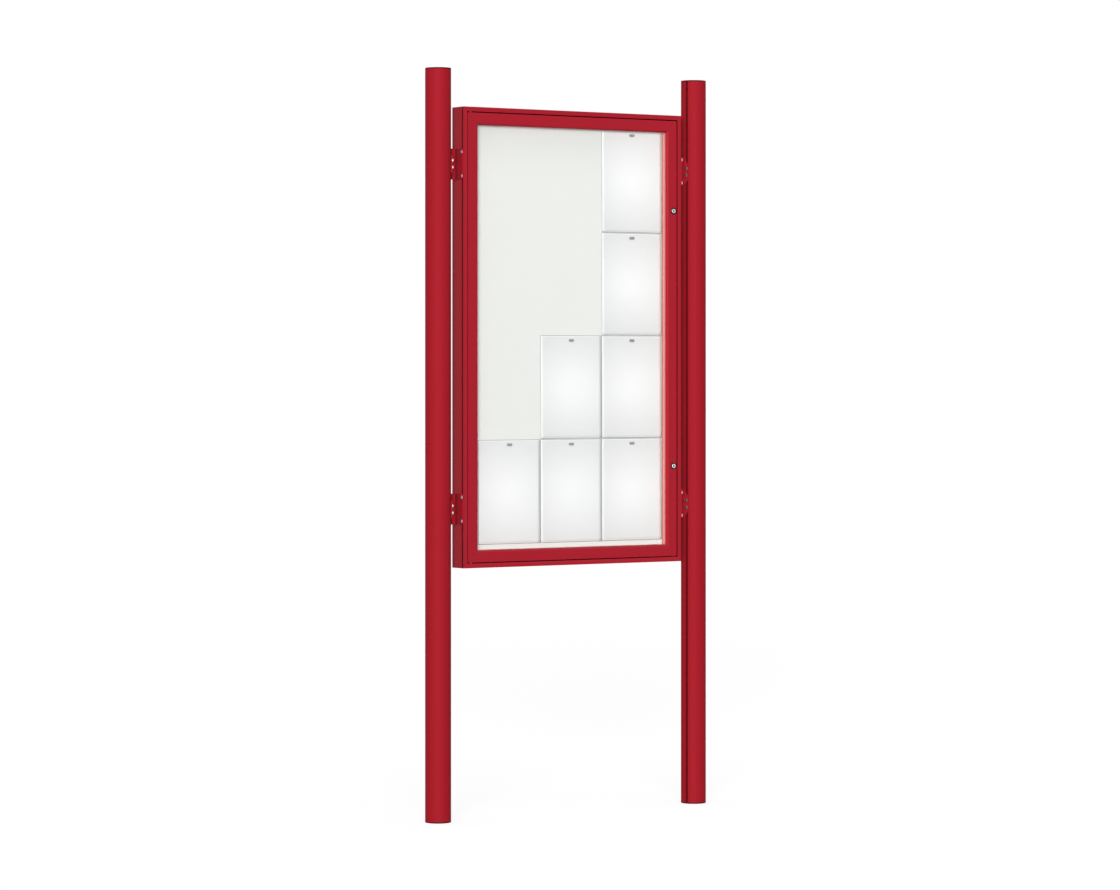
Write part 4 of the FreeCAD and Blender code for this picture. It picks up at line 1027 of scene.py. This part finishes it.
class BuildLocks(Operator):
    """Builds the two locks with their cams, collars and strikes"""
    bl_idname = "notice_board.locks"
    bl_label = "Locks"

    def execute(self, context):
        sizes = context.scene.board_sizes
        collars = bmesh.new()
        for level in ("upper", "lower"):
            self.add_barrel(sizes, level, collars)
            self.add_core(sizes, level)
            dress("zinc", f"{level}_lock_cam")
            dress("steel", f"{level}_cam_screw")
        stand_for(new_piece(collars, "lock_collar_rings", "black"), "black_plastic", "lock_collars")
        dress("steel", "lock_retaining_rings")
        dress("zinc", "lock_strikes")
        return {"FINISHED"}

    def add_core(self, sizes, level):
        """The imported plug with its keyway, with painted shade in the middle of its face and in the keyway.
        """
        node = f"{level}_lock_plug"
        low, high = map(Vector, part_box(node))
        middle = (low + high) / 2
        keyhole, radius = sizes.keyhole, high.x - middle.x
        turns = [2 * math.pi * i / KEYHOLE_SIDES for i in range(KEYHOLE_SIDES)]
        normals = [RIGHT * math.cos(turn) + UP * math.sin(turn) for turn in turns]
        planes = [(middle + normal * keyhole, normal) for normal in normals]

        def tone_at(point):
            """Painted shade inside the cuts on the face, and in the keyway behind it."""
            away = math.hypot(point.x - middle.x, point.z - middle.z)
            on_face = point.y < low.y + MERGE
            return float(away < (keyhole * KEYHOLE_CORNER if on_face else radius * KEYWAY_REACH))

        mesh = paint_shade(clean_copy(node), planes, tone_at)
        rounded_piece(mesh, f"{level}_lock_core", "nickel", "nickel", sizes.small_edge, node)

    def add_barrel(self, sizes, level, collars):
        """A bright ring in front with its barrel behind, and the black collar round it."""
        low, high = map(Vector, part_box(f"{level}_lock_barrel"))
        plug_low, plug_high = map(Vector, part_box(f"{level}_lock_plug"))
        collar_low, collar_high = map(Vector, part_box("lock_collars"))
        door_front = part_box("door_lock_stile")[0][1]
        bore = (plug_high.z - plug_low.z) / 2 + sizes.lock_gap
        ring, edge = sizes.lock_ring, sizes.small_edge
        proud, deep = door_front - low.y, door_front - high.y
        centre = ((low.x + high.x) / 2, door_front, (low.z + high.z) / 2)
        rounding = edge * 2
        face = [(bore, proud - edge), (bore + edge, proud)]
        face += quarter(ring - rounding, proud - rounding, rounding)
        mesh = bmesh.new()
        add_turned(mesh, face + [(ring, deep), (bore, deep)], centre, -BACK, sizes.round_facets, ring=True)
        stand_for(new_piece(mesh, f"{level}_lock_body", "nickel"), "nickel", f"{level}_lock_barrel")
        outer = (collar_high.x - collar_low.x) / 2
        inner, rise = ring + edge / 2, sizes.collar_rise
        collar = [(inner, 0.0), (inner, rise)] + quarter(outer - rise, 0.0, rise)
        add_turned(collars, collar, centre, -BACK, sizes.round_facets, ring=True)


# Shares of the bend shade's width: where the plate is cut outwards and forwards of the bend,
# and up to where its points are dark
BEND_CUTS_OUT = (0.6, 1.0)
BEND_CUT_FORWARD = 0.3
DARK_OUT = 0.7
DARK_FORWARD = 0.2


class BuildBrackets(Operator):
    """Builds the four bent brackets between cabinet and posts"""
    bl_idname = "notice_board.brackets"
    bl_label = "Brackets"

    def execute(self, context):
        sizes = context.scene.board_sizes
        for level in ("upper", "lower"):
            for side in ("left", "right"):
                self.add_bracket(sizes, f"{level}_{side}_bracket")
        return {"FINISHED"}

    def add_bracket(self, sizes, node):
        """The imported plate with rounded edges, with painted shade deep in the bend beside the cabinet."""
        low, high = map(Vector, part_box(node))
        side = math.copysign(1, low.x)
        wall = min(abs(low.x), abs(high.x))
        bend, flange = sizes.bend_shade, wall + sizes.plate
        web = high.y - sizes.plate
        planes = [(RIGHT * (side * (flange + bend * share)), RIGHT * side) for share in BEND_CUTS_OUT]
        planes.append((BACK * (web - bend * BEND_CUT_FORWARD), BACK))

        def tone_at(point):
            """Painted shade deep in the bend, fading outwards and forwards to the next cut."""
            out = abs(point.x) - flange
            deep = point.y > web - bend * DARK_FORWARD and out > -MERGE
            return sizes.bend_tone * (deep and out < bend * DARK_OUT)

        mesh = paint_shade(clean_copy(node), planes, tone_at)
        rounded_piece(mesh, f"{node}_plate", "powder", RED, sizes.plate_edge, node)


# A screw's own sizes in order, for each kind of screw
SCREW_SIZES = ("head_radius", "head_height", "head_side", "socket_radius", "socket_depth", "shank_radius")
BRACKET_SCREW = (0.00525, 0.0033, 0.0028, 0.00231, 0.0021, 0.003)
PANEL_SCREW = (0.004, 0.002, 0.0006, 0.00144, 0.0012, 0.002)
STRIKE_SCREW = (0.0036, 0.0016, 0.0005, 0.00144, 0.0010, 0.002)


class BuildScrews(Operator):
    """Builds all the screws and sliding nuts"""
    bl_idname = "notice_board.screws"
    bl_label = "Screws"

    def execute(self, context):
        sizes = context.scene.board_sizes
        slope = sizes.slot_angle

        def away_from_cabinet(x):
            return RIGHT * math.copysign(1, x)

        def out_of_slot(x):
            return Vector((-math.copysign(math.cos(slope), x), -math.sin(slope), 0))

        self.add_screws(sizes, "bracket_cabinet_screws", BRACKET_SCREW, away_from_cabinet)
        self.add_screws(sizes, "bracket_post_screws", BRACKET_SCREW, out_of_slot)
        self.add_screws(sizes, "rear_panel_screws", PANEL_SCREW, lambda x: BACK)
        self.add_screws(sizes, "strike_screws", STRIKE_SCREW, lambda x: -away_from_cabinet(x))
        dress("zinc", "cabinet_slot_nuts", "post_slot_nuts")
        return {"FINISHED"}

    def add_screws(self, sizes, node, screw, outwards):
        """Screws with sockets in the places of a node's plain ones, each found from its own points."""
        shape = dict(zip(SCREW_SIZES, screw))
        head = shape["head_height"]
        seats, pulls = [], []
        for points in loose_parts(node):
            out = outwards(points[0].x)
            side = out.cross(UP)
            end, top = extent(points, out)
            across = side * middle_of(points, side) + UP * middle_of(points, UP)
            seats.append(out * (top - head) + across)
            pulls.append(out)
        seed = bpy.data.meshes.new(f"{node}_seed")
        seed.from_pydata(seats, [], [])
        pull = seed.attributes.new(PULL, "FLOAT_VECTOR", "POINT")
        for item, out in zip(pull.data, pulls):
            item.vector = out
        piece = grow(
            screw_tree, seed, f"{node}_set", "steel",
            facets=sizes.screw_facets, shank_length=top - end - head, **shape,
        )
        stand_for(piece, "bright_steel", node)


# Distances from the board's upper edge at which its shade is set, and how steeply the shade falls off.
# From the left edge it reaches less far and is weaker.
BOARD_SHADE = (0.014, 0.028, 0.042, 0.056, 0.070, 0.090, 0.110, 0.140, 0.170)
SHADE_FALL = 1.7
LEFT_REACH = 0.7
LEFT_TONE = 0.25
MAGNET_EDGE = 3
# Columns and rows of a sheet's mesh, how steeply its sides and its lower end curl,
# and how much the sides do at the top and the lower end does in its middle
SHEET_GRID = (20, 28)
SIDE_CURL = 3
END_CURL = 4
TOP_SHARE = 0.6
END_SHARE = 0.6


class BuildBoard(Operator):
    """Builds the white steel board, its channels, the sheets and their magnets"""
    bl_idname = "notice_board.board"
    bl_label = "Board and notices"

    def execute(self, context):
        sizes = context.scene.board_sizes
        self.add_board(sizes)
        dress("zinc", "board_channels")
        self.add_sheets(sizes)
        edge = sizes.small_edge * MAGNET_EDGE
        rounded_node("sheet_magnets", "sheet_magnet_bars", "magnet", "grey_magnet", edge)
        return {"FINISHED"}

    def add_board(self, sizes):
        """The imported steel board, softly shaded towards its upper edge and its left edge."""
        low, high = map(Vector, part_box("magnet_board"))
        from_top = [(UP * (high.z - depth), UP) for depth in BOARD_SHADE]
        from_left = [(RIGHT * (low.x + depth * LEFT_REACH), RIGHT) for depth in BOARD_SHADE]
        reach = BOARD_SHADE[-1]

        def tone_at(point):
            """Strongest at the upper left, and none beyond the last of the steps."""
            down = max(0.0, 1 - (high.z - point.z) / reach)
            across = max(0.0, 1 - (point.x - low.x) / (reach * LEFT_REACH))
            return sizes.board_tone * (down ** SHADE_FALL + LEFT_TONE * across ** SHADE_FALL)

        mesh = paint_shade(clean_copy("magnet_board"), from_top + from_left, tone_at)
        edge = sizes.small_edge / 2
        rounded_piece(mesh, "magnet_board_sheet", "enamel", "white_steel", edge, "magnet_board")

    def add_sheets(self, sizes):
        """Each sheet hangs by its magnet and stands off the board a little at its edges."""
        mesh = bmesh.new()
        sheet_map = mesh.loops.layers.uv.new(SHEET_MAP)
        columns, rows = SHEET_GRID
        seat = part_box("magnet_board")[0][1] - sizes.paper_thickness
        for points in front_faces("notice_sheets"):
            left, right = extent(points, RIGHT)
            low, high = extent(points, UP)
            width = right - left - 2 * sizes.paper_gap
            height = high - low - 2 * sizes.paper_gap
            grid = []
            for j in range(rows + 1):
                for i in range(columns + 1):
                    u, v = i / columns, j / rows
                    y = seat - sizes.paper_lift * self.curl(u, 1 - v)
                    x = left + sizes.paper_gap + width * u
                    grid.append(mesh.verts.new((x, y, low + sizes.paper_gap + height * v)))
            for j in range(rows):
                for i in range(columns):
                    a = j * (columns + 1) + i
                    b = a + columns + 1
                    face = mesh.faces.new((grid[a], grid[a + 1], grid[b + 1], grid[b]))
                    corners = ((i, j), (i + 1, j), (i + 1, j + 1), (i, j + 1))
                    for loop, (column, row) in zip(face.loops, corners):
                        loop[sheet_map].uv = (column / columns, row / rows)
        piece = new_piece(mesh, "paper_sheets", "paper")
        solid = piece.modifiers.new("Paper", "SOLIDIFY")
        solid.thickness = sizes.paper_thickness
        solid.offset = -1.0
        stand_for(piece, "white_paper", "notice_sheets")

    def curl(self, across, down):
        """How far a sheet stands off, as a share, most at its lower corners."""
        sideways = abs(2 * across - 1) ** SIDE_CURL
        return sideways * (TOP_SHARE + (1 - TOP_SHARE) * down) + END_SHARE * down ** END_CURL


# Stage

# Where the camera stands, how far it is turned to the right, its focal length in pixels of the picture
# and the picture's row at the camera's own height
CAMERA_PLACE = (-5.962, -9.067, 1.2755)
CAMERA_TURN = math.radians(33.197)
FOCAL_PIXELS = 3783
SENSOR = 36.0
HORIZON_ROW = 367.5
VIEW_END = 200
FLOOR_REACH = 60
FLOOR_GREY = (0.5, 0.5, 0.5, 1.0)
LAMP_DISTANCE = 6


def seen_directly(tree):
    """1 for rays that the camera, a reflection or glass shows, and 0 for light that surfaces scatter."""
    path = tree.nodes.new("ShaderNodeLightPath").outputs
    seen = math_node(tree, "MAXIMUM", path["Is Camera Ray"], path["Is Glossy Ray"])
    also = math_node(tree, "MAXIMUM", seen, path["Is Transmission Ray"])
    unscattered = math_node(tree, "LESS_THAN", path["Diffuse Depth"], 0.5)
    return times(tree, also, unscattered)


class BuildStage(Operator):
    """Sets up the floor, the soft studio light and the camera"""
    bl_idname = "notice_board.stage"
    bl_label = "Stage"

    def execute(self, context):
        scene = context.scene
        light = scene.board_light
        self.add_floor(light)
        self.set_world(scene, light)
        self.add_lamp(light)
        self.add_camera(scene)
        scene.view_settings.view_transform = "Standard"
        return {"FINISHED"}

    def add_floor(self, light):
        material, tree, shader = new_material("Pale floor")
        feed_by_name(tree, shader, Base_Color=FLOOR_GREY, Roughness=0.9, Specular_IOR_Level=0.0)
        glow = times(tree, seen_directly(tree), light.floor_glow)
        feed_by_name(tree, shader, Emission_Color=WHITE, Emission_Strength=glow)
        mesh = bmesh.new()
        bmesh.ops.create_grid(mesh, x_segments=1, y_segments=1, size=FLOOR_REACH)
        floor = new_object(mesh, "studio_floor", material)
        floor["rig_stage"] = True

    def set_world(self, scene, light):
        world = bpy.data.worlds.new("Studio room")
        scene.world = world
        world.use_nodes = True
        tree = world.node_tree
        shown = math_node(tree, "MAXIMUM", seen_directly(tree), light.room)
        feed_by_name(tree, tree.nodes["Background"], Color=WHITE, Strength=shown)

    def add_lamp(self, light):
        data = bpy.data.lights.new("Main lamp", "SUN")
        data.energy = light.lamp
        data.angle = light.lamp_spread
        lamp = add_object("Main lamp", data)
        level = math.cos(light.lamp_height)
        towards = Vector((
            -math.sin(light.lamp_side) * level,
            -math.cos(light.lamp_side) * level,
            math.sin(light.lamp_height),
        ))
        lamp.rotation_euler = towards.to_track_quat("Z", "Y").to_euler()
        lamp.location = towards * LAMP_DISTANCE + UP

    def add_camera(self, scene):
        data = bpy.data.cameras.new("Front left camera")
        data.sensor_width = SENSOR
        data.lens = FOCAL_PIXELS / PICTURE_WIDTH * SENSOR
        data.shift_y = (HORIZON_ROW - PICTURE_HEIGHT / 2) / PICTURE_WIDTH
        data.clip_end = VIEW_END
        camera = add_object("Front left camera", data)
        camera.location = CAMERA_PLACE
        camera.rotation_euler = (math.pi / 2, 0.0, -CAMERA_TURN)
        scene.camera = camera


class BoardPanel(Panel):
    """Lists the steps that build the notice board"""
    bl_label = "Notice board"
    bl_idname = "VIEW3D_PT_notice_board"
    bl_space_type = "VIEW_3D"
    bl_region_type = "UI"
    bl_category = "Notice board"

    def draw(self, context):
        layout = self.layout
        scene = context.scene
        for group in (scene.board_sizes, scene.board_colours, scene.board_light):
            box = layout.box()
            for name in group.__annotations__:
                box.prop(group, name)
        for step in STEPS:
            layout.operator(step.bl_idname)


STEPS = (
    BuildPosts,
    BuildHousing,
    BuildDoor,
    BuildHinges,
    BuildLocks,
    BuildBrackets,
    BuildScrews,
    BuildBoard,
    BuildStage,
)
CLASSES = (BoardSizes, BoardColours, BoardLight) + STEPS + (BoardPanel,)


def register():
    for item in CLASSES:
        bpy.utils.register_class(item)
    bpy.types.Scene.board_sizes = PointerProperty(type=BoardSizes)
    bpy.types.Scene.board_colours = PointerProperty(type=BoardColours)
    bpy.types.Scene.board_light = PointerProperty(type=BoardLight)


def unregister():
    del bpy.types.Scene.board_light
    del bpy.types.Scene.board_colours
    del bpy.types.Scene.board_sizes
    for item in reversed(CLASSES):
        bpy.utils.unregister_class(item)


def main():
    register()
    for step in STEPS:
        group, name = step.bl_idname.split(".")
        getattr(getattr(bpy.ops, group), name)()
    boxes = {"cad": CAD_BOX, "visual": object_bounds()}
    plain = {key: [list(corner) for corner in corners] for key, corners in boxes.items()}


if __name__ == "__main__":
    main()
